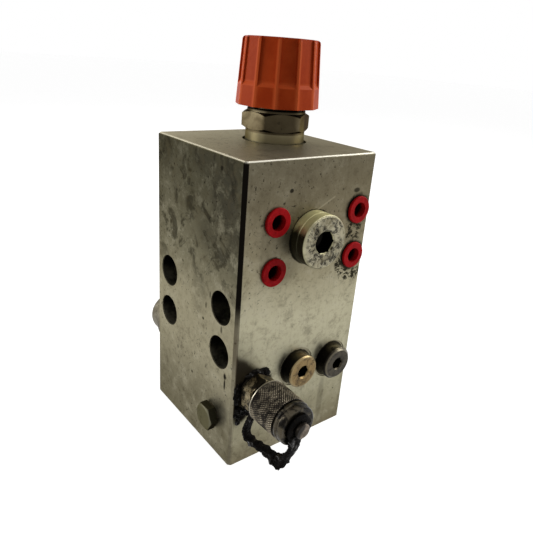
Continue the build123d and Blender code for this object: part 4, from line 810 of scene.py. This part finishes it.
def grease_lump(name, across, up, wide, tall, thick, seed):
    """Lump of old grease on the front face, in millimetres.

    A dome over a ragged oval: a point at share r of the way out and angle a lies at r * R(a) along a, where
    R = 1 + a rough field round the rim, and stands thick * sqrt(1 - r * r) * (0.65 + a rough field) off the face.
    A flat back just inside the face closes it.
    """
    angle = np.linspace(0, 2 * np.pi, 72, endpoint=False)
    out = np.concatenate([np.sin(np.linspace(0, np.pi / 2, 22)), [0.0]])
    share, turn = np.meshgrid(out, angle, indexing="ij")
    rim = np.stack([wide * np.cos(turn), np.zeros_like(turn), tall * np.sin(turn)], axis=-1)
    reach = 1 + 0.42 * rough_field(rim, 0.16, seed)
    flat = share[..., None] * reach[..., None] * rim + np.array((across, 0.0, up))
    height = thick * np.sqrt(np.clip(1 - share ** 2, 0, 1)) * (0.65 + 0.6 * rough_field(flat, 0.22, seed + 1))
    height[-1] = -0.1
    points = flat + np.array((0.0, -1.0, 0.0)) * np.maximum(height, -0.1)[..., None]
    points[..., 1] += FRONT / MM
    return grid_piece(name, points * MM, GREASE, "block")


# Springs copied from the CAD part: node, joint, axis, the end that stays (0 low, 1 high) and travel in mm
SPRINGS = (("main_spring", "poppet_slide", 1, 0, 3.0), ("coupling_spring", "ball_slide", 1, 1, 1.5),
           ("relief_spring", "relief_slide", 2, 1, 1.0))


def coil_piece(node, joint, axis, still, travel):
    """Copy of a CAD spring's mesh, fixed to the block in place of the CAD spring."""
    mesh = NODES[node].data.copy()
    mesh.transform(NODES[node].matrix_world)
    coil = bpy.data.objects.new(node + "_coil", mesh)
    bpy.context.scene.collection.objects.link(coil)
    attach(coil, "block")
    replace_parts(coil, node)
    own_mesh(coil)


for spring in SPRINGS:
    coil_piece(*spring)
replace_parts(strap_piece(), "retaining_strap")
ring_piece("strap_ring_at_neck", 8.2, 1.1, 9.6, 0.25, 3, 0.8)
ring_piece("strap_ring_at_stud", 4.9, 2.0, 34.5, 0.16, 4, 0.42)
for name, *shape in (("grease_above", -26.0, 52.6, 6.0, 2.3, 1.5, 21), ("grease_right", -19.4, 50.6, 2.6, 2.4, 1.2, 29),
                     ("grease_beside", -36.6, 43.0, 1.8, 6.5, 1.0, 23), ("grease_below", -34.9, 32.6, 3.0, 3.4, 2.2, 25),
                     ("grease_drip", -35.2, 27.6, 1.3, 2.2, 1.2, 27), ("grease_at_strap", -30.6, 31.4, 3.0, 2.6, 2.0, 31)):
    grease_lump(name, *shape)


def camera():
    """Pinhole camera at the photograph's viewpoint: back, right and up from azimuth, elevation and roll."""
    azimuth, elevation, roll = (math.radians(angle) for angle in (CAMERA_AZIMUTH, CAMERA_ELEVATION, CAMERA_ROLL))
    back = Vector((math.sin(azimuth) * math.cos(elevation), -math.cos(azimuth) * math.cos(elevation),
                   math.sin(elevation)))
    right = (-back).cross(Vector((0, 0, 1))).normalized()
    up = right.cross(-back)
    turned_right = math.cos(roll) * right + math.sin(roll) * up
    turned_up = math.cos(roll) * up - math.sin(roll) * right
    data = bpy.data.cameras.new("camera")
    data.sensor_width = SENSOR_MM
    data.lens = SENSOR_MM * FOCAL_PIXELS / FRAME_PIXELS
    data.clip_start, data.clip_end = 0.01, 20
    eye = bpy.data.objects.new("camera", data)
    place = Matrix((turned_right, turned_up, back)).transposed().to_4x4()
    place.translation = Vector(CAMERA_AT_MM) * MM
    eye.matrix_world = place
    bpy.context.scene.collection.objects.link(eye)
    bpy.context.scene.camera = eye


def lamp(name, place, target, size, power, colour=(1, 1, 1)):
    """Square soft lamp that looks at a point of the object; place and target in metres."""
    data = bpy.data.lights.new(name, "AREA")
    data.energy, data.size, data.color = power, size, colour
    made = bpy.data.objects.new(name, data)
    made.location = place
    made.rotation_mode = "QUATERNION"
    made.rotation_quaternion = (Vector(target) - Vector(place)).to_track_quat("-Z", "Y")
    bpy.context.scene.collection.objects.link(made)


def seen_rays(tree):
    """Value that is 1 for camera, glossy and transmission rays."""
    path = tree.nodes.new("ShaderNodeLightPath")
    total = path.outputs["Is Camera Ray"]
    for name in ("Is Glossy Ray", "Is Transmission Ray"):
        add = tree.nodes.new("ShaderNodeMath")
        add.operation = "ADD"
        add.use_clamp = True
        tree.links.new(total, add.inputs[0])
        tree.links.new(path.outputs[name], add.inputs[1])
        total = add.outputs[0]
    return total


AMBIENT = 0.26
SEEN = 1.0


def studio():
    """White surroundings, a pale floor that keeps the shadow, and soft lamps."""
    world = bpy.data.worlds.new("studio")
    bpy.context.scene.world = world
    world.use_nodes = True
    tree = world.node_tree
    background = tree.nodes["Background"]
    background.inputs["Color"].default_value = (1, 1, 1, 1)
    strength = tree.nodes.new("ShaderNodeMapRange")
    strength.inputs["To Min"].default_value = AMBIENT
    strength.inputs["To Max"].default_value = SEEN
    tree.links.new(seen_rays(tree), strength.inputs["Value"])
    tree.links.new(strength.outputs[0], background.inputs["Strength"])

    side = 6.0
    corner = np.linspace(-side, side, 2)
    across, along = np.meshgrid(corner, corner, indexing="xy")
    mesh = bpy.data.meshes.new("floor")
    points = np.stack([across, along, np.zeros_like(across)], axis=-1).reshape(-1, 3)
    mesh.from_pydata(points.tolist(), [], [(0, 1, 3, 2)])
    floor = bpy.data.objects.new("floor", mesh)
    floor.location.z = -0.0002
    bpy.context.scene.collection.objects.link(floor)
    finish = bpy.data.materials.new("floor")
    finish.use_nodes = True
    nodes = finish.node_tree
    surface = nodes.nodes["Principled BSDF"]
    surface.inputs["Base Color"].default_value = (0.42, 0.42, 0.42, 1)
    surface.inputs["Roughness"].default_value = 0.9
    surface.inputs["Specular IOR Level"].default_value = 0.1
    glow = nodes.nodes.new("ShaderNodeMix")
    glow.data_type = "RGBA"
    glow.inputs[6].default_value = (0, 0, 0, 1)
    glow.inputs[7].default_value = (1, 1, 1, 1)
    nodes.links.new(seen_rays(nodes), glow.inputs[0])
    nodes.links.new(glow.outputs[2], surface.inputs["Emission Color"])
    surface.inputs["Emission Strength"].default_value = 0.84
    mesh.materials.append(finish)

    target = (0, 0, 0.09)
    lamp("right", (0.84, -0.46, 0.60), target, 0.5, 7.0)
    lamp("left", (-0.78, 0.52, 0.42), target, 0.5, 5.0)
    lamp("back", (0.05, 0.95, 0.78), target, 0.5, 5.0)


camera()
studio()
bpy.context.scene.view_settings.view_transform = "Standard"
